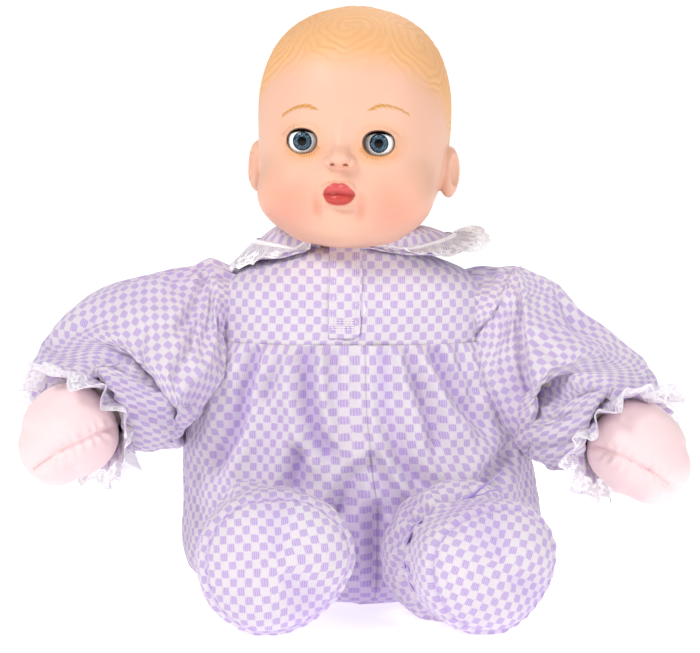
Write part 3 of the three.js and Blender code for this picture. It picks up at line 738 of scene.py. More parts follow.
def make_collar():
    for name, (side, start, stop) in COLLARS.items():

        def flap(theta, t):
            """Points of the flap, which narrows and rounds off towards both ends."""
            ends = np.minimum(np.clip((theta - start) / 16, 0, 1), np.clip((stop - theta) / 14, 0, 1))
            reach = 0.45 + 0.55 * np.sqrt(np.clip(1 - (1 - ends) ** 2, 0, 1))
            T, P = np.broadcast_arrays(t * reach, theta)
            return collar_point(side, P, T), T, P

        theta = np.linspace(start, stop, 170)[None]
        t = np.linspace(0, 1, 26)[:, None]
        p, T, P = flap(theta, t)
        p[..., 2] += 0.7 * lattice(joined(P / 14, T * 3), 101 + side) * T
        p[..., 2] = np.maximum(p[..., 2], torso_top(p[..., 0], p[..., 1]) + 2.0 * smooth(0.2, 0.5, T))
        uv = joined(np.radians(theta) * 42, t * 28)
        piece = grid_object(f"collar_{name}_cloth", p, uv, inside=(0, 4, 60))
        thick(piece, 0.8, 1)
        dress(piece, CHECK, "torso", "sleeper", f"collar_{name}")
        # the lace: sewn on above the edge, rippled and reaching past it
        theta = np.linspace(start + 1, stop - 1, 520)[None]
        v = np.linspace(0, 1, 18)[:, None]
        p, _, P = flap(theta, 0.72 + 0.5 * v)
        phase = np.radians(P) * 26 + 2.5 * lattice(joined(P / 12, v * 1.5), 111 + side)
        p[..., 2] += 0.9 + 0.85 * np.sin(phase) * v + 0.3 * v
        p[..., 0] += 0.8 * v * np.cos(phase)
        p[..., 2] = np.maximum(p[..., 2], torso_top(p[..., 0], p[..., 1]) + 2.4)
        uv = joined(np.radians(theta) * 62, v * LACE_WIDTH)
        lace = grid_object(f"collar_lace_{name}_net", p, uv, inside=(0, 4, 60))
        dress(lace, lace_net(f"collar_lace_{name}", LACE_WIDTH), "torso", "lace", f"collar_lace_{name}")


# ---------------------------------------------------------------- sleeves, cuffs and hands
# puff: points along the sleeve's middle, each with its radius
ARMS = {
    "right": {
        "side": -1,
        "shoulder": [-62, 2, 108],
        "hand": [-107, -45, 71],
        "puff": [
            [-42, 3, 110, 13],
            [-49, 3, 112, 19],
            [-56, 2, 110.5, 29],
            [-70, -3, 104, 35],
            [-86, -12, 95, 35],
            [-97, -21, 87, 32],
        ],
    },
    "left": {
        "side": 1,
        "shoulder": [62, 2, 108],
        "hand": [108, -45, 64],
        "puff": [
            [42, 3, 109, 13],
            [49, 3, 111, 19],
            [56, 2, 106, 26],
            [70, -3, 98, 30.5],
            [87, -13, 91, 30],
            [100, -22, 83, 28.5],
        ],
    },
}


def tube_frames(centres):
    along = unit(np.gradient(centres, axis=0))
    across = unit(np.cross([0, 0, 1.0], along))
    return across, np.cross(along, across)


def stuffing(shoulder, wrist, d):
    """The stuffed arm and shoulder that a sleeve lies on, and the body beside it."""
    centres = np.linspace(shoulder - d * 8, wrist + d * 3, 14)
    across, up = tube_frames(centres)
    ring = circle(20)[None, :, None]
    radius = 13.5 * np.sqrt(np.clip(1 - np.linspace(-1, 0.6, 14) ** 4, 0.01, 1))
    around = across[:, None] * np.cos(ring) + up[:, None] * np.sin(ring)
    core = centres[:, None] + around * radius[:, None, None]
    tilt, spin = np.meshgrid(np.linspace(-1.5, 1.5, 14), circle(24), indexing="ij")
    ball = shoulder + 20.4 * joined(np.cos(tilt) * np.cos(spin), np.cos(tilt) * np.sin(spin), np.sin(tilt))
    solids = [(s.reshape(-1, 3), grid_faces(*s.shape[:2], True)) for s in (core, ball)]
    return [(flat, faces_out(flat, faces)[0]) for flat, faces in solids] + [solid_torso(-2)]


def make_arm(name, arm):
    side = arm["side"]
    shoulder, hand = np.array(arm["shoulder"], float), np.array(arm["hand"], float)
    d = unit(hand - shoulder)
    wrist = shoulder + d * (np.linalg.norm(hand - shoulder) - 16)
    cols, rows = ((150, 84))
    knots = [*arm["puff"], [*(wrist - d * 7), 24], [*(wrist - d * 1.5), 14.2]]
    curve = through(knots, rows)
    centres, radius = curve[:, :3], curve[:, 3]
    across, up = tube_frames(centres)
    phi = circle(cols)
    share = np.linspace(0, 1, rows)
    P, R = np.meshgrid(phi, share)
    near = np.exp(-R / 0.10) + np.exp(-(1 - R) / 0.07)
    pleat = np.sin(P * 26 + 2 * lattice(joined(np.cos(P) * 3, np.sin(P) * 3, R * 4), 31))
    drape = fractal(joined(np.cos(P) * 1.6, np.sin(P) * 1.6, R * 5 + side), 37 + side, 3)
    off = 1.1 * pleat * near * smooth(0, 0.03, R) + 2.4 * drape * smooth(0, 0.12, R) * smooth(1, 0.86, R)
    radial = across[:, None] * np.cos(P)[..., None] + up[:, None] * np.sin(P)[..., None]
    p = centres[:, None] + radial * (radius[:, None, None] + off[..., None])
    full = 1 + 0.22 * smooth(0, 0.1, R) * smooth(1, 0.9, R) + 0.2 * near
    cut = centres[0] + (centres[:, None] - centres[0]) * 1.24 + radial * (radius[:, None] * full)[..., None]
    pin = np.zeros((rows, cols))
    armhole = 1 / (len(knots) - 1)
    pin[share < armhole * 1.5] = 0.6
    pin[share < armhole * 1.15] = 1
    pin[-2:] = 1
    p = relax(p, cut, pin, stuffing(shoulder, wrist, d), 20, 0.6, 1.3, 0.15, 14)
    out = unit(p - p.mean(1, keepdims=True))
    ring = joined(np.cos(P) * 2.4, np.sin(P) * 2.4, R * 3 + 5 * side)
    ridge = 1 - 2 * np.abs(np.sin(P * 6.5 + 2.6 * lattice(ring, 45))) ** 0.8
    ridge = ridge + 0.6 * np.sin(P * 19 + 3 * lattice(ring * 1.6, 46))
    reach = np.exp(-R / 0.2) + np.exp(-(1 - R) / 0.16)
    lumps = fractal(joined(np.cos(P) * 2.2, np.sin(P) * 2.2, R * 7 + 3 * side), 47, 3)
    height = (1.25 * ridge * reach + 1.5 * lumps) * smooth(0, 0.06, R) * smooth(1, 0.94, R)
    p = p + out * height[..., None]
    v = running(spans(p).mean(1))
    uv = joined(np.linspace(0, 208, cols + 1)[None], v[:, None])
    # painted shade: the checks are coloured deeper in the sleeve's fold valleys
    fold_shade = {"fold_shade": np.clip(-height / 3.2, 0, 1)}
    sleeve = grid_object(f"sleeve_{name}_cloth", p, uv, True, flags=fold_shade)
    sewn(sleeve, 0.5, REFINE, None, [f"sleeve_{name}", f"cuff_elastic_{name}"], 0.5)
    start, end = shoulder - np.array([side * 12, 0, 0]), shoulder + d * 24
    tuple(start * MM)
    tuple(end * MM)
    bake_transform(sleeve)
    make_cuff(name, side, wrist, d)
    make_hand(name, side, hand, d)


def make_cuff(name, side, wrist, d):
    """The check ruffle past the elastic, and the lace sewn along its edge."""
    across = unit(np.cross([0, 0, 1.0], d))
    up = np.cross(d, across)
    cols, rows = 420, 14
    elastic, waves = 13.6, 13
    # where each strip starts along the arm, its width, its length in the pattern and how far it lies off
    for kind, start, width, total, lift in (
        ("ruffle", -1.5, 13.0, 215.0, 0),
        ("lace", 8.0, LACE_WIDTH, 300.0, 0.3),
    ):
        P, S = np.meshgrid(circle(cols), np.linspace(start, start + width, rows))
        wobble = lattice(joined(np.cos(P) * 4, np.sin(P) * 4, S / 18), 41 + side)
        phase = P * waves + 2.4 * wobble
        grow = smooth(-2, 12, S)
        lean = math.radians(47) + 0.35 * wobble * grow
        r = elastic + np.maximum(S, 0) * np.sin(lean) + 1.04 * grow * np.sin(2 * phase + 1) + lift
        h = S * np.cos(lean) + 2.08 * grow * np.cos(phase) + 2 * lift
        radial = across * np.cos(P)[..., None] + up * np.sin(P)[..., None]
        p = wrist + radial * r[..., None] + d * h[..., None]
        uv = joined(np.linspace(0, total, cols + 1)[None], S[:, :1] - start)
        piece = grid_object(f"cuff_{kind}_{name}_cloth", p, uv, True)
        if kind == "ruffle":
            thick(piece, 0.5)
            dress(piece, CHECK, f"arm_{name}", "sleeper")
        else:
            dress(piece, lace_net(f"cuff_lace_{name}", width), f"arm_{name}", "lace", f"cuff_lace_{name}")


def make_hand(name, side, hand, d):
    """A stuffed mitten with a stitched thumb line that pulls the cloth in."""
    across = unit(np.cross([0, 0, 1.0], d))
    basis = np.stack([across, np.cross(d, across), d])
    rows, cols = 120, 160
    lat = np.linspace(-math.pi / 2 * 0.93, math.pi / 2, rows)
    P, L = np.meshgrid(circle(cols), lat)
    c, s = np.cos(L), np.sin(L)
    width, length = 18.0, 17.6
    r = width * np.abs(c) ** 0.86
    local = joined(r * np.cos(P), r * np.sin(P), length * np.sign(s) * np.abs(s) ** 0.92)
    n = unit(local)
    # the thumb line: part of a plane through the mitten, low on the side that faces forward
    ahead = basis @ unit([0.0, -1.0, 0.25])
    plane = unit(basis @ unit([side * 0.42, 0.12, 0.9]))
    t = local @ plane + 6.5
    facing = smooth(0.05, 0.5, n @ ahead)
    tangent = local @ unit(np.cross(plane, ahead))
    pucker = np.sin(tangent * 1.55 + 2 * lattice(joined(tangent / 6, t / 6), 5)) * bell((np.abs(t) - 2.2) / 2.0)
    move = (0.45 * pucker - 1.7 * bell(t / 1.1) - 1.0 * bell(t / 4.5)) * facing
    move = move + 0.7 * fractal(local / 13 + side, 61, 2)
    move = move + 4.2 * smooth(0.6, 1.0, n @ (basis @ unit([side * 0.62, -0.3, -0.72])))
    gather = np.sin(P * 22) * np.exp(-(L + 1.45) / 0.16) * 0.4
    p = hand + (local + n * (move + gather)[..., None]) @ basis
    uv = joined(np.linspace(0, 113, cols + 1)[None], (lat * 18)[:, None])
    piece = grid_object(f"hand_{name}_cloth", p, uv, True)
    dress(piece, HAND_CLOTH, f"arm_{name}", "hand", f"hand_{name}")
    stitches = []
    for k in range(0, cols, 3):
        i = np.argmin(np.abs(t[:, k]))
        if facing[i, k] > 0.35 and abs(t[i, k]) < 0.5:
            stitches.append(p[i, k] + (n[i, k] @ basis) * 0.12)
    stitches = np.array(sorted(stitches, key=lambda point: point[0]))
    make_stitches(f"thumb_stitch_{name}", stitches, f"arm_{name}", 0.16, "E8B4B8")


def tube(stations, sides, offset):
    """Points and faces of a thin tube; a station is (middle, across, up), offset the first point's number."""
    w = circle(sides)[:, None]
    points = [middle + across * np.cos(w) + up * np.sin(w) for middle, across, up in stations]
    return np.concatenate(points), grid_faces(len(stations), sides, True) + offset


def make_stitches(name, path, body, radius, code, length=1.0, gap=0.8, slot="hand"):
    """Short lengths of thread laid along a path."""
    steps = running(spans(path))
    verts, faces = [], []
    start = 0.0
    while start + length < steps[-1]:
        a, b = (np.array([np.interp(v, steps, path[:, k]) for k in range(3)]) for v in (start, start + length))
        along = unit(b - a)
        side = unit(np.cross(along, [0.3, 0.2, 0.93])) * radius
        up = np.cross(along, side)
        stations = [(a + (b - a) * f, side * r, up * r) for f, r in ((0, 0.3), (0.25, 1), (0.75, 1), (1, 0.3))]
        points, quads = tube(stations, 6, len(verts) * 24)
        verts.append(points)
        faces.append(quads)
        start += length + gap
    piece = new_object(name, np.concatenate(verts), np.concatenate(faces))
    dress(piece, plain_cloth(name + "_thread", code, code, 0.2, 0.02), body, slot)


# ---------------------------------------------------------------- head (its own upright frame, in mm)
# height, half width, half depth and the middle's y of the skull
HEAD = np.array(
    [
        [139, 9, 8, -14],
        [141, 18, 18, -12],
        [144.5, 23.2, 26, -8.5],
        [150, 28.5, 31.5, -4.5],
        [157, 32.5, 36, -1.5],
        [166, 35.4, 39, 1],
        [176, 36.5, 41, 3.5],
        [187, 37.1, 42, 4.5],
        [198, 36.6, 41.5, 5],
        [208, 34.3, 39, 5.5],
        [216, 30.5, 35, 6],
        [223, 24.2, 28.5, 6.5],
        [228, 15.5, 18.5, 7],
        [230.8, 5, 6, 7],
    ],
    float,
)
HEAD_FINE = through(HEAD, 500)
HEAD_Z = np.concatenate([[128, 138.3], HEAD_FINE[:, 0], [231.1, 241]])
HEAD_SQUARE = np.concatenate([[-1250, 0], HEAD_FINE[:, 1] ** 2, [0, -770]])
HEAD_RATIO = np.concatenate([[1.1, 1.1], HEAD_FINE[:, 1] / HEAD_FINE[:, 2], [0.84, 0.84]])
HEAD_MIDDLE = np.concatenate([[-14, -14], HEAD_FINE[:, 3], [7, 7]])
HEAD_TURN = (
    Matrix.Translation((0, 0.004, 0.150))
    @ Matrix.Rotation(math.radians(-7), 4, "Z")
    @ Matrix.Rotation(math.radians(1.5), 4, "Y")
    @ Matrix.Translation((0, -0.004, -0.150))
)
EYES = {"right": np.array([-15.2, -28.4, 180.0]), "left": np.array([14.2, -28.4, 180.0])}
EYE_OPENING = (5.6, 4.6)
EYE_RADIUS = 6.9
# height of the line between the lips, and the power of the skull's rounded outline
MOUTH_Z = 160.6
SKULL_POWER = 2.25


def blend_in(a, b, k):
    """Joins two distances with a fillet k wide."""
    h = np.clip(0.5 + 0.5 * (b - a) / k, 0, 1)
    return b * (1 - h) + a * h - k * h * (1 - h)


def cut_out(a, b, k):
    """Takes one distance's solid out of another's, with an edge k wide."""
    return -blend_in(-a, b, k)


def egg(p, centre, radii):
    """Distance outside an ellipsoid."""
    q = (p - np.array(centre)) / np.array(radii)
    k0 = np.linalg.norm(q, axis=-1)
    k1 = np.linalg.norm(q / np.array(radii), axis=-1)
    return k0 * (k0 - 1) / np.maximum(k1, 1e-6)


def rod(p, a, b, ra, rb):
    """Distance outside a round rod from a to b that tapers from radius ra to rb."""
    a, b = np.array(a), np.array(b)
    h = np.clip((p - a) @ (b - a) / ((b - a) @ (b - a)), 0, 1)
    return np.linalg.norm(p - a - h[..., None] * (b - a), axis=-1) - (ra + (rb - ra) * h)


def skull_level(p):
    """Under 0 inside the bare skull, over 0 outside it."""
    x, y, z = p[..., 0], p[..., 1], p[..., 2]
    deep = (y - np.interp(z, HEAD_Z, HEAD_MIDDLE)) * np.interp(z, HEAD_Z, HEAD_RATIO)
    across = (np.abs(x) ** SKULL_POWER + np.abs(deep) ** SKULL_POWER) ** (2 / SKULL_POWER)
    return across - np.interp(z, HEAD_Z, HEAD_SQUARE)


def slope(measure, p, step):
    """How fast a measure grows along x, y and z."""
    return np.stack([measure(p + s) - measure(p - s) for s in np.eye(3) * step], -1) / (2 * step)


def skull(p):
    return np.clip(skull_level(p) / np.sqrt((slope(skull_level, p, 0.6) ** 2).sum(-1) + 9), -12, 12)


def lip_shape(p):
    """How far a point is inside the painted lips' outline, seen from the front."""
    x, z = np.abs(p[..., 0]), p[..., 2]
    a = x / 6.2
    beyond = np.maximum(a - 1, 0) * 8
    top = MOUTH_Z + 4.5 * np.clip(1 - a**2.1, 0, 1) ** 0.75 - 0.45 * bell(x / 1.1) - beyond
    low = MOUTH_Z - 4.3 * np.clip(1 - a**2.6, 0, 1) ** 0.6 + beyond
    return np.minimum(top - z, z - low)


def eye_shape(p, eye):
    """Distance outside the eye's opening, seen from the front."""
    dx = (p[..., 0] - eye[0]) / EYE_OPENING[0]
    dz = (p[..., 2] - eye[2]) / EYE_OPENING[1]
    return ((np.abs(dx) ** 2.2 + np.abs(dz) ** 2.2) ** (1 / 2.2) - 1) * 4.7


def head_distance(p):
    """Distance outside the head's surface, in its own upright frame."""
    x, y, z = p[..., 0], p[..., 1], p[..., 2]
    ax = np.abs(x)
    m = joined(ax, y, z)
    d = skull(p)
    # cheeks, chin, muzzle, bridge, tip and wings of the nose, nostrils
    d = blend_in(d, egg(m, (17, -20, 159), (16.8, 16.5, 14)), 6)
    d = blend_in(d, egg(p, (0, -30, 149), (10, 8.3, 8)), 4.5)
    d = blend_in(d, egg(p, (0, -35.4, 161), (9.5, 3.8, 8)), 4)
    d = blend_in(d, rod(p, (0, -34.6, 185), (0, -39.4, 176.5), 2.4, 2.6), 5)
    d = blend_in(d, egg(p, (0, -41.0, 174.3), (3.9, 4.2, 3.4)), 2.2)
    d = blend_in(d, egg(m, (4.2, -38.6, 172.7), (2.1, 3.0, 2.3)), 1.1)
    d = cut_out(d, egg(m, (2.5, -43.6, 171.7), (1.15, 2.2, 0.95)), 0.5)
    # lips, and the creases beside and under them
    upper = egg(m, (2.0, -39.0, 162.9), (4.3, 3.3, 2.5))
    lower = egg(p, (0, -39.4, 158.6), (5.2, 3.6, 2.7))
    d = blend_in(d, blend_in(upper, lower, 0.45), 1.0)
    front = smooth(0, -8, y)
    smile = bell((ax - 8.4 - 0.1 * (z - 156)) / 1.2) * smooth(149, 153, z) * smooth(163, 159, z)
    d = d + 0.95 * smile * front
    d = d + 0.7 * bell((z - 154.6) / 1.2) * smooth(8, 4, ax) * front
    d = d + 0.35 * bell(x / 1.5) * smooth(165, 166.5, z) * smooth(171, 169, z) * front
    for eye in EYES.values():
        d = blend_in(d, egg(p, eye, (8.3, 7.55, 7.3)), 3.2)
        around = np.hypot((x - eye[0]) / 8.6, (z - eye[2]) / 6.9)
        lid = bell((around - 1) / 0.085) * smooth(1.5, 4, z - eye[2]) * front
        bag = bell((around - 1.05) / 0.11) * smooth(-1.5, -4, z - eye[2]) * front
        d = d + 0.45 * lid + 0.22 * bag
        d = cut_out(d, np.linalg.norm(p - eye, axis=-1) - 7.2, 0.35)
        d = cut_out(d, np.maximum(eye_shape(p, eye), y - eye[1]), 0.55)
    ear = egg(m, (37.4, 4.5, 168.0), (4.2, 6.6, 10.0))
    ear = cut_out(ear, egg(m, (41.0, 1.2, 169.0), (3.2, 3.6, 6.4)), 0.8)
    d = blend_in(d, ear, 1.4)
    neck = np.hypot(x, y - 4) - np.where(z > 127.3, 17.5, 15.5)
    return blend_in(d, np.maximum(neck, np.abs(z - 134) - 15.5), 3)


def head_out(p):
    """The outward direction at points near the surface."""
    return unit(slope(head_distance, p, 0.15))


def onto_head(p, lift=0.0, times=3):
    for _ in range(times):
        p = p - head_out(p) * (head_distance(p) - lift)[..., None]
    return p


def surface_net(field, origin, step):
    """One vertex per mixed cell of the field, one quad per crossed edge."""
    inside = field < 0
    shape = np.array(field.shape) - 1
    total = np.zeros((*shape, 3))
    count = np.zeros(shape)
    for axis in range(3):
        others = [k for k in range(3) if k != axis]
        for corner in np.ndindex(2, 2):
            low = [slice(0, n) for n in shape]
            for other, shift in zip(others, corner):
                low[other] = slice(shift, shape[other] + shift)
            high = list(low)
            high[axis] = slice(1, shape[axis] + 1)
            a, b = field[tuple(low)], field[tuple(high)]
            crossed = (a < 0) != (b < 0)
            total[..., axis] += np.where(crossed, a / np.where(crossed, a - b, 1), 0)
            for other, shift in zip(others, corner):
                total[..., other] += np.where(crossed, shift, 0)
            count += crossed
    live = count > 0
    number = np.full(shape, -1)
    number[live] = np.arange(live.sum())
    points = origin + (np.argwhere(live) + total[live] / count[live][:, None]) * step
    faces = []
    for axis in range(3):
        order = [axis, (axis + 1) % 3, (axis + 2) % 3]
        a = np.moveaxis(inside, order, [0, 1, 2])
        n = np.moveaxis(number, order, [0, 1, 2])
        out = a[:-1, 1:-1, 1:-1]
        i, j, k = np.nonzero(out != a[1:, 1:-1, 1:-1])
        quad = np.stack([n[i, j, k], n[i, j + 1, k], n[i, j + 1, k + 1], n[i, j, k + 1]], -1)
        faces.append(np.where(out[i, j, k][:, None], quad, quad[:, ::-1]))
    return points, np.concatenate(faces)


def hairline(p):
    """How far a point is above the painted hairline."""
    return p[..., 2] - np.interp(p[..., 1], [-40, -30, -10, 5, 20, 46], [213, 211, 193, 181, 166, 150])


# the middles of the curls
CURLS = np.array(
    [
        [-24, -8, 214],
        [0, -20, 222],
        [24, -8, 214],
        [-12, 12, 226],
        [14, 14, 226],
        [-34, 6, 196],
        [34, 6, 196],
        [-30, 26, 200],
        [30, 26, 200],
        [0, 36, 206],
        [-20, 40, 184],
        [20, 40, 184],
        [-32, 22, 176],
        [32, 22, 176],
        [0, 45, 170],
        [-22, 34, 162],
        [22, 34, 162],
    ]
)


def curls(p):
    """Height of the moulded curls, 0 to 1."""
    away = np.linalg.norm(p[:, None] - CURLS[None], axis=-1)
    centre, r = CURLS[away.argmin(1)], away.min(1)
    side = unit(np.cross(unit(centre - np.array([0, 5, 185])), [0.1, 0.3, 1.0]))
    up = np.cross(unit(centre - np.array([0, 5, 185])), side)
    rel = p - centre
    turn = np.arctan2((rel * up).sum(-1), (rel * side).sum(-1))
    return 0.5 + 0.5 * np.sin(r * 2.1 + turn * 2 + 3.2 * lattice(p / 5, 91)) * smooth(0.5, 3, r)


def make_head():
    step = 1.05
    low, high = np.array([-44.0, -49.0, 116.0]), np.array([44.0, 51.0, 234.0])
    axes = [np.arange(a, b, step) for a, b in zip(low, high)]
    cells = np.stack(np.meshgrid(*axes, indexing="ij"), -1)
    field = head_distance(cells.reshape(-1, 3)).reshape(cells.shape[:3])
    points, faces = surface_net(field, low, step)
    shell = new_object("head_shell_vinyl", onto_head(points, times=1), faces)
    modifier(shell, "SUBSURF", levels=1, render_levels=1)
    mesh = bake(shell).data
    co = np.zeros(len(mesh.vertices) * 3, np.float32)
    mesh.vertices.foreach_get("co", co)
    p = onto_head(co.reshape(-1, 3).astype(float) / MM, times=2)
    hair = smooth(-7, 9, hairline(p) + 3 * fractal(p / 9, 93, 2))
    relief = curls(p) * hair
    p = p + head_out(p) * (0.3 * relief)[:, None]
    mesh.vertices.foreach_set("co", (p * MM).astype(np.float32).ravel())
    mesh.update()
    mesh.shade_smooth()
    ax, y, z = np.abs(p[:, 0]), p[:, 1], p[:, 2]
    front = smooth(-5, -20, y)
    eyes = np.minimum(*(eye_shape(p, e) for e in EYES.values()))
    parting = bell((z - MOUTH_Z - 0.05 + 0.012 * ax**2) / 0.4)
    flags = {
        "lip": np.where(y < -30, lip_shape(p), -5),
        "low_lip": smooth(0.4, -0.4, z - MOUTH_Z),
        "mouth": parting * smooth(6.9, 5.2, ax) * front,
        "hair": hair,
        "relief": relief,
        "blush": bell((ax - 19.5) / 9.5) * bell((z - 157) / 9) * front,
        "eyes": np.where(y < -20, eyes, 30),
        "under": np.max([smooth(2, -6, z - e[2]) for e in EYES.values()], 0),
        # painted shade inside the nostril holes
        "nostril_shade": bell((ax - 2.5) / 1.1) * bell((z - 171.6) / 0.85) * smooth(-39, -41, y),
        # painted shade in the creases beside the mouth
        "mouth_crease_shade": bell((ax - 8.5) / 2.2) * bell((z - 155) / 4) * front,
    }
    mark(mesh, flags)
    shell.matrix_world = HEAD_TURN
    dress(shell, head_vinyl(), "head", "vinyl", "head_shell", "eye_cup_right", "eye_cup_left")


def head_vinyl():
    sh = Shader("head_vinyl", Specular_IOR_Level=0.38, Subsurface_Weight=0.12, Subsurface_Scale=0.003)
    sh.set("Subsurface_Radius", (1.0, 0.45, 0.3))
    where = sh.place()
    under, lip = sh.value("under"), sh.ramp(sh.value("lip"), -0.25, 0.3)
    skin = sh.mix(sh.noise(where, 28, 3), "EABCA4", "E7B49B")
    skin = sh.mix(sh.value("blush") * 0.62, skin, "F2967F")
    # painted shade: the creases beside the mouth are tinted darker
    skin = sh.mix(sh.value("mouth_crease_shade") * 0.3, skin, "E58A70")
    skin = sh.mix(sh.ramp(sh.value("eyes"), 5.5, 0.0) * (under * 0.45 + 0.3), skin, "E9A36A")
    hair = sh.mix(sh.noise(where, 160, 4), "EFB67A", "FBCB92")
    hair = sh.mix(sh.value("relief") * 0.3, "E9B074", hair)
    skin = sh.mix(sh.value("hair") * 0.85, skin, hair)
    skin = sh.mix(lip * 0.93, skin, sh.mix(sh.value("low_lip"), "D24E50", "C2322F"))
    skin = sh.mix(sh.value("mouth") * 0.75, skin, "8E2226")
    # a dark liner painted round the eye opening, darker above, together with painted shade on the opening's
    # inner walls
    liner_and_rim_shade = sh.ramp(sh.value("eyes"), under * -0.2 + 0.75, under * -0.15 + 0.3)
    skin = sh.mix(liner_and_rim_shade * 0.88, skin, sh.mix(under, "120A08", "8A5636"))
    # painted shade: the nostril holes are coloured dark brown
    sh.set("Base_Color", sh.mix(sh.ramp(sh.value("nostril_shade"), 0.2, 0.75), skin, "9C4A38"))
    sh.set("Roughness", sh.value("hair") * 0.12 + 0.44 - lip * 0.12)
    sh.bump(sh.noise(where, 900, 3), 0.02, 0.4)
    return sh.material


def eye_material():
    """Front of the ball is -Y in its own frame; the lid is the part turned upward."""
    sh = Shader("eyeball", Specular_IOR_Level=0.08, Coat_Roughness=0.03)
    where = sh.place()
    x, y, z = sh.split(where, 1000.0)
    forward = y * -1.0
    r = sh.calc("SQRT", x * x + z * z) + sh.ramp(forward, 0.5, -0.5) * 20.0
    turn = sh.calc("ARCTAN2", z, x)
    rays = {0: sh.calc("COSINE", turn) * 4.0, 1: sh.calc("SINE", turn) * 4.0, 2: r * 0.35}
    streaks = sh.noise(sh.node("ShaderNodeCombineXYZ", rays), 3.2, 4, 0.7)
    iris = sh.mix(sh.ramp(streaks, 0.42, 0.66), "0E1A26", "6C90A8")
    iris = sh.mix(sh.ramp(r, 2.0, 1.6), iris, "101C28")
    iris = sh.mix(sh.ramp(r, 2.9, 3.5), iris, "0A131D")
    iris = sh.mix(sh.ramp(r, 1.72, 1.6), iris, (0.001, 0.001, 0.002, 1))
    white = sh.mix(sh.noise(where, 200, 2), "FBFBFB", "F2F4F6")
    ball = sh.mix(sh.ramp(r, 3.75, 3.55), white, iris)
    height = sh.calc("ARCTAN2", z, forward)
    lash_line = sh.ramp(height, math.radians(30.5), math.radians(32.0))
    lid = sh.ramp(height, math.radians(41.0), math.radians(42.0))
    ball = sh.mix(lid, ball, "F6C8A8")
    sh.set("Base_Color", sh.mix(lash_line * (1.0 - lid), ball, "1A110D"))
    sh.set("Coat_Weight", 0.28 - lid * 0.25)
    sh.set("Roughness", lid * 0.35 + 0.12)
    return sh.material


def make_eyes():
    material = eye_material()
    bristle = moulded("lash_bristle", "15100D", 0.6)
    rows, cols = 50, 96
    for name, eye in EYES.items():
        P, L = np.meshgrid(circle(cols), np.linspace(-math.pi / 2, math.pi / 2, rows))
        ball = joined(np.sin(L), np.cos(L) * np.cos(P), np.cos(L) * np.sin(P)) * EYE_RADIUS
        piece = new_object(f"eyeball_{name}_glass", ball.reshape(-1, 3), grid_faces(rows, cols, True))
        modifier(piece, "WELD", merge_threshold=0.00001)
        bake(piece)
        piece.matrix_world = HEAD_TURN @ Matrix.Translation(Vector(eye) * MM)
        dress(piece, material, f"eye_{name}", "eye", f"eyeball_{name}")
        verts, faces = [], []
        start, reach = math.radians(33), 6.55
        for k, a in enumerate(np.linspace(-1, 1, 46)):
            root = np.array([a * 5.0, -math.cos(start) * reach, math.sin(start) * reach])
            root[1:] *= math.sqrt(reach**2 - root[0] ** 2) / reach
            jitter = lattice(np.array([[k * 1.7, 0.3]]), 7)[0]
            way = np.array([a * 0.6 + 0.15 * jitter, -0.75, -0.3 + 0.15 * jitter])
            stations = []
            for share, width in ((0, 0.085), (0.5, 0.06), (1, 0.012)):
                c = root + way * share + np.array([0, 0, 0.25 * share * (1 - share)])
                stations.append((c, np.array([width, 0, 0]), np.array([0, 0, width])))
            points, quads = tube(stations, 4, k * 12)
            verts.append(points)
            faces.append(quads)
        lashes = new_object(f"eyelash_{name}_bristle", np.concatenate(verts), np.concatenate(faces))
        lashes.matrix_world = piece.matrix_world.copy()
        dress(lashes, bristle, f"eye_{name}", "lash", f"eyelash_{name}")


def paint_strokes(name, strokes, code):
    """Brush strokes lying on the head: each is a row of points (x, z) and a width, tapering at both ends."""
    verts, faces = [], []
    taper = np.array([0.25, 0.8, 1, 0.95, 0.75, 0.45, 0.08])
    rows = len(taper)
    for k, (line, width) in enumerate(strokes):
        line = through(line, rows)
        centre = onto_head(joined(line[:, 0], -37.0, line[:, 1]), 0.05, 4)
        along = unit(np.gradient(centre, axis=0))
        half = unit(np.cross(head_out(centre), along)) * (width * 0.5 * taper)[:, None]
        stroke = onto_head(np.stack([centre - half, centre, centre + half], 1), 0.06, 2)
        verts.append(stroke.reshape(-1, 3))
        faces.append(grid_faces(rows, 3, False) + k * rows * 3)
    piece = new_object(name, np.concatenate(verts), np.concatenate(faces))
    piece.matrix_world = HEAD_TURN
    sh = Shader(name, Roughness=0.5)
    sh.set("Base_Color", sh.mix(sh.noise(sh.place(), 700, 2), code, "C88C36"))
    dress(piece, sh.material, "head", "vinyl")


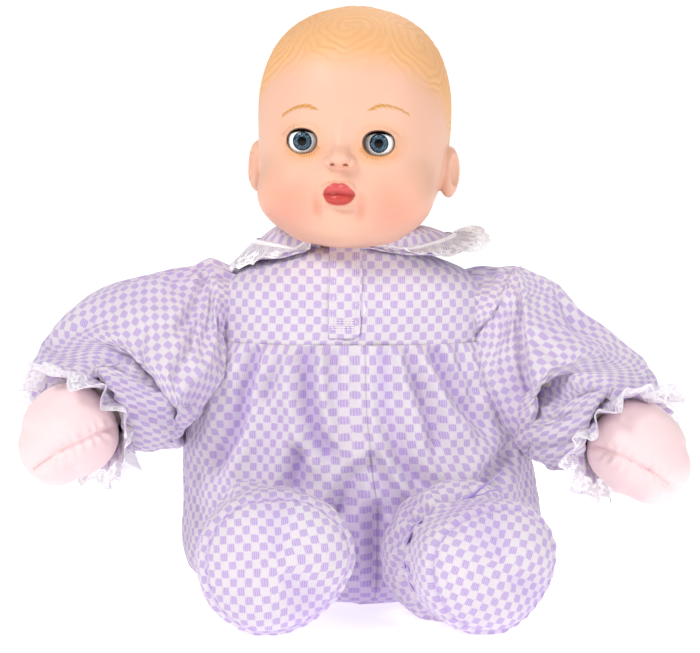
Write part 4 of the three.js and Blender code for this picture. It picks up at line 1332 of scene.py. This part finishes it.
def make_face_paint():
    rng = np.random.default_rng(5)
    arches = {
        -1: [[-10.8, 192.2], [-14.2, 193.3], [-18.6, 193.0], [-23.8, 191.6], [-29.2, 189.8]],
        1: [[11.4, 192.6], [14.6, 194.1], [18.8, 194.4], [25.0, 193.5], [31.6, 191.6]],
    }
    brows = []
    count = 14
    for side, arch in arches.items():
        spine = through(arch, count)
        heading = unit(np.gradient(spine, axis=0))
        for k in range(count):
            length = 5.0 - 1.6 * abs(k / (count - 1) - 0.4) * 2 + 0.3 * rng.standard_normal()
            rise = np.array([-heading[k][1], heading[k][0]]) * side
            way = unit(heading[k] - rise * (0.66 - 0.3 * k / count) * (1 if k % 2 else 0.6))
            start = spine[k] - way * length * 0.45 + rise * 0.1
            brows.append(([start, spine[k] + rise * 0.3, spine[k] + way * length * 0.5], 0.46))
    paint_strokes("painted_brows", brows, "D2933A")
    lashes = []
    for eye in EYES.values():
        outward = -1 if eye[0] < 0 else 1
        for a in np.radians(np.linspace(200, 340, 17)):
            root = eye[[0, 2]] + np.array([math.cos(a) * 6.1, math.sin(a) * 4.9])
            lean = unit([math.cos(a) * 0.9 + 0.18 * outward, math.sin(a)])
            length = 1.7 + 0.5 * rng.random()
            middle = root + lean * length * 0.5 + np.array([-0.08 * outward, 0])
            tip = root + lean * length + np.array([0.25 * outward, 0])
            lashes.append(([root, middle, tip], 0.4))
    paint_strokes("painted_lashes", lashes, "C88A3C")


# ---------------------------------------------------------------- legs and feet
LEGS = {
    "right": {"hip": [-31, -36.5, 25], "foot": [-30.6, 27.2], "radius": 27.2, "turn": -4, "yaw": 5},
    "left": {"hip": [36, -36.5, 25], "foot": [43.6, 25], "radius": 25, "turn": 20, "yaw": 19},
}

# how far the ankle's tape and the sole's seam lie from the hip, along the leg
ANKLE, SOLE_SEAM = 31, 58.3


def make_leg(name, leg):
    hip = np.array(leg["hip"], float)
    fx, fz = leg["foot"]
    r = leg["radius"]
    body = f"leg_{name}"
    cols, rows = 180, 130
    phi = circle(cols)
    # distance from the hip, half width, half height and share of the way to the foot's middle
    outline = [
        [-9, 20, 15, 0.0],
        [0, 24, 21, 0.05],
        [8, 26.5, 25, 0.2],
        [18, 27, 27, 0.45],
        [25, 25.5, 25.5, 0.6],
        [ANKLE, 21.5, 21, 0.66],
        [36, 23.5, 23, 0.8],
        [42, r, r - 0.4, 0.92],
        [49, r + 1.2, r + 0.6, 1],
        [55, r + 0.6, r, 1],
        [59.5, r - 2.4, r - 2.6, 1],
        [63, r - 6.5, r - 6.6, 1],
        [65.2, r - 12, r - 12, 1],
        [66.2, r - 19, r - 19, 1],
        [66.5, 0.05, 0.05, 1],
    ]
    t, hw, hh, share = through(outline, rows).T
    P, T = np.meshgrid(phi, t)
    cx = hip[0] + (fx - hip[0]) * share
    cz = hip[2] + (fz - hip[2]) * share
    ring = joined(np.cos(P) * 2.2, np.sin(P) * 2.2, T / 16)
    soft = fractal(ring, 71 + int(fx), 3)
    crease = np.sin(P * 17 + 3 * lattice(ring * 1.5, 75)) * bell((T - ANKLE) / 7.5)
    pleat = np.sin(P * 30 + 2 * lattice(ring, 77)) * bell((T - 56) / 5) * 0.28
    off = soft * np.interp(t, [0, 10, 30, 48, 60, 66], [1.4, 2.2, 1.6, 0.7, 0.5, 0.3])[:, None]
    off = off + crease * 1.4 + pleat - 0.55 * bell((T - SOLE_SEAM) / 0.8)
    off = off + (1.0 * np.sin(2 * P + 0.6) + 0.8 * np.sin(3 * P + fx)) * smooth(36, 48, T)
    solid = smooth(0.5, 8, hw)[:, None]
    off = (off - bell((T - ANKLE) / 1.6) * 0.8) * solid
    x = cx[:, None] + (hw[:, None] + off) * np.cos(P)
    z = np.maximum(cz[:, None] + (hh[:, None] + off) * np.sin(P), 0.12)
    # the foot turns outward about its ankle
    ahead, aside = T - ANKLE, x - np.interp(ANKLE, t, cx)
    yaw = math.radians(leg["yaw"]) * smooth(24, 46, T)
    x = x - aside + aside * np.cos(yaw) + ahead * np.sin(yaw)
    y = hip[1] - ANKLE + aside * np.sin(yaw) - ahead * np.cos(yaw)
    p = joined(x, y, z)
    seam, edge = (int(np.searchsorted(t, at)) for at in (ANKLE, 58.5))
    arc = running(np.hypot(np.diff(t), np.diff(hh)))
    upper_uv = joined(np.linspace(0, 168, cols + 1)[None], arc[:, None])
    reach = (arc[-1] - arc)[:, None]
    around = np.linspace(0, 2 * math.pi, cols + 1)[None] + math.radians(leg["turn"])
    sole_uv = joined(reach * np.cos(around), reach * np.sin(around))
    # painted shade: the cloth is coloured deeper in its creases and along the groove of the sole's seam
    fold_shade = np.clip(np.maximum(-off, 0) / 3.0 + 0.8 * bell((T - SOLE_SEAM) / 0.8), 0, 1)
    for part, rides, rows_of, uv in (
        ("pant_leg", None, slice(seam + 1), upper_uv),
        ("foot_upper", body, slice(seam, edge + 1), upper_uv),
        ("foot_sole", body, slice(edge, None), sole_uv),
    ):
        flags = {"fold_shade": fold_shade[rows_of]}
        piece = grid_object(f"{part}_{name}_cloth", p[rows_of], uv[rows_of], True, flags=flags)
        sewn(piece, 0.5, REFINE, rides, [f"{part}_{name}"], 0.8)
        if not rides:
            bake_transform(piece)
    # the stuffed leg inside
    inset = (2.0 + 8.0 * smooth(20, 2, T)) * solid
    forward = np.array([math.sin(yaw[-1, 0]), -math.cos(yaw[-1, 0]), 0])
    limb = p - unit(p - p.mean(1, keepdims=True)) * inset[..., None]
    limb = (limb - forward * (1.8 * smooth(46, 60, T))[..., None])[t > 2]
    root = limb[:1].mean(1, keepdims=True)
    limb = np.concatenate([root + (limb[:1] - root) * np.array([0.01, 0.4, 0.8])[:, None, None], limb])
    filled = grid_object(f"stuffed_leg_{name}_muslin", limb, np.zeros((len(limb), cols + 1, 2)), True)
    dress(filled, MUSLIN, body, "muslin", f"leg_{name}")
    # the tape round the ankle
    a = np.linspace(-1.3, 1.3, 5)[:, None]
    bx = cx[seam] + (hw[seam] + 0.5 - 0.2 * a**2) * np.cos(phi)[None]
    bz = np.maximum(cz[seam] + (hh[seam] + 0.5 - 0.2 * a**2) * np.sin(phi)[None], 0.1)
    by = hip[1] - t[seam] + a + 0.6 * np.sin(phi * 7)[None]
    uv = joined(np.linspace(0, 140, cols + 1)[None], a)
    ribbon = grid_object(f"ankle_ribbon_{name}_cloth", joined(bx, by, bz), uv, True)
    thick(ribbon, 0.35)
    dress(ribbon, RIBBON, body, "ribbon", f"ankle_ribbon_{name}")


# loose ends of the ankle ribbons: leg, width, path
TAILS = [
    ("left", 1.3, [[41, -67, 46.5], [46, -68, 50.5], [51, -69, 54], [56.5, -70, 58.5]]),
    ("left", 0.5, [[43, -66, 46.8], [50, -68, 50], [58, -70, 52.5]]),
    ("left", 0.5, [[26, -66, 38], [23, -71, 33], [20, -75, 26], [21, -78, 21]]),
    ("left", 0.4, [[27, -66, 40], [20, -70, 36], [17, -73, 29]]),
    ("right", 1.2, [[-34, -67, 47.5], [-41, -69, 47], [-47, -71, 43.5], [-50, -73, 40]]),
    ("right", 0.5, [[-30, -67, 48], [-20, -68, 48.5], [-10, -70, 46.5], [-1, -71, 47]]),
]


def make_tails():
    count = 30
    for k, (leg, width, path) in enumerate(TAILS):
        line = through(path, count)
        waver = joined(*(lattice(line[:, [0, 2]] / 3, 120 + k + i) for i in range(3)))
        line = line + 0.5 * waver
        along = unit(np.gradient(line, axis=0))
        side = unit(np.cross(along, [0.25, -1, 0.3]))
        turn = np.linspace(0, 1.6, count)[:, None]
        side = unit(side * np.cos(turn) + np.cross(along, side) * np.sin(turn))
        strip = np.stack([line - side * width / 2, line + side * width / 2], 1)
        uv = joined(np.array([[0, width]]), np.linspace(0, 22, count)[:, None])
        tail = thick(grid_object(f"ribbon_tail_{k + 1}", strip, uv), 0.22, 1)
        dress(tail, RIBBON, f"leg_{leg}", "ribbon")


# ---------------------------------------------------------------- parts inside
# the parts that keep their first shape, with their materials
PLAIN = [
    (ELASTIC, "placket_hook_tape placket_loop_tape"),
    (MUSLIN, "torso_cloth access_flap arm_right arm_left"),
    (FILLING, "torso_filling"),
    (moulded("nylon", "F0F0EC"), "neck_cable_tie"),
    (moulded("lead", "8C8E92", 0.5, 1.0), "eye_weight_right eye_weight_left"),
    (moulded("case_plastic", "E9E9EC"), "module_case_front module_case_back"),
    (moulded("screw_steel", "9A9CA0", 0.3, 1.0), "case_screw door_screw"),
    (moulded("button_plastic", "F2A6BD", 0.4), "press_button"),
    (moulded("spring_steel", "A4A6AA", 0.25, 1.0), "button_spring"),
    (moulded("board_green", "1F6B3C", 0.4), "sound_board"),
    (moulded("speaker_black", "1A1A1C", 0.6), "speaker"),
    (moulded("cell_nickel", "C4C6C9", 0.3, 1.0), "battery_cell_1 battery_cell_2 battery_cell_3"),
    (moulded("contact", "B8BABE", 0.3, 1.0), "battery_contact_positive battery_contact_negative"),
    (moulded("door_plastic", "E4E4E8"), "battery_door"),
]


def finish_hidden():
    """Gives their materials to the parts that keep their first shape."""
    for material, names in PLAIN:
        for name in names.split():
            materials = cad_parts[name].data.materials
            materials.clear()
            materials.append(material)


# ---------------------------------------------------------------- stage
def make_stage():
    """A pale floor that runs far past the horizon's blur."""
    reach, below = 60000, 0.02
    X, Y = np.meshgrid(*[np.linspace(-reach, reach, 3)] * 2)
    floor = grid_object("floor", joined(X, Y, -below), np.zeros((3, 3, 2)), inside=(0, 0, -100))
    sh = Shader("floor", Roughness=0.9, Specular_IOR_Level=0.1, Emission_Color=(1, 1, 1, 1))
    where = sh.place()
    sh.set("Base_Color", sh.mix(sh.noise(where, 3, 2), (0.93, 0.93, 0.94, 1), (0.95, 0.95, 0.95, 1)))
    far = sh.node("ShaderNodeVectorMath", {0: where}, "Value", operation="LENGTH")
    sh.set("Emission_Strength", sh.ramp(far, 0.25, 1.1) * 0.18 + 0.51)
    floor.data.materials.append(sh.material)


def aim(item, position, target):
    item.location = position
    item.rotation_mode = "QUATERNION"
    item.rotation_quaternion = (Vector(target) - Vector(position)).to_track_quat("-Z", "Y")


def area_light(name, position, size, power, tint=(1, 1, 1)):
    data = bpy.data.lights.new(name, "AREA")
    data.shape = "DISK"
    data.size = size
    data.energy = power
    data.color = tint
    aim(add(name, data), position, (0, 0, 0.11))


def make_camera():
    data = bpy.data.cameras.new("camera")
    data.sensor_width = 36
    data.lens = 211
    SCENE.camera = add("camera", data)
    tilt, distance = math.radians(5), 1.6
    target = Vector((-0.0008, 0, 0.1067))
    aim(SCENE.camera, target + Vector((0, -math.cos(tilt), math.sin(tilt))) * distance, target)


def make_lights():
    world = bpy.data.worlds.new("studio")
    world.use_nodes = True
    background = world.node_tree.nodes["Background"]
    background.inputs["Color"].default_value = (1, 1, 1, 1)
    background.inputs["Strength"].default_value = 0.42
    SCENE.world = world
    area_light("key", (-0.8, -0.9, 1.3), 0.6, 13.8, (1, 0.985, 0.97))
    area_light("fill", (1.0, -1.0, 0.6), 1.0, 5.6)
    area_light("back", (0.3, 1.0, 1.2), 1.0, 6)
    SCENE.view_settings.view_transform = "Standard"


make_camera()
make_lights()
make_stage()
finish_hidden()
make_head()
make_eyes()
make_face_paint()
make_skirt()
make_yokes()
make_placket()
make_collar()
for arm_name, arm_data in ARMS.items():
    make_arm(arm_name, arm_data)
for leg_name, leg_data in LEGS.items():
    make_leg(leg_name, leg_data)
make_tails()
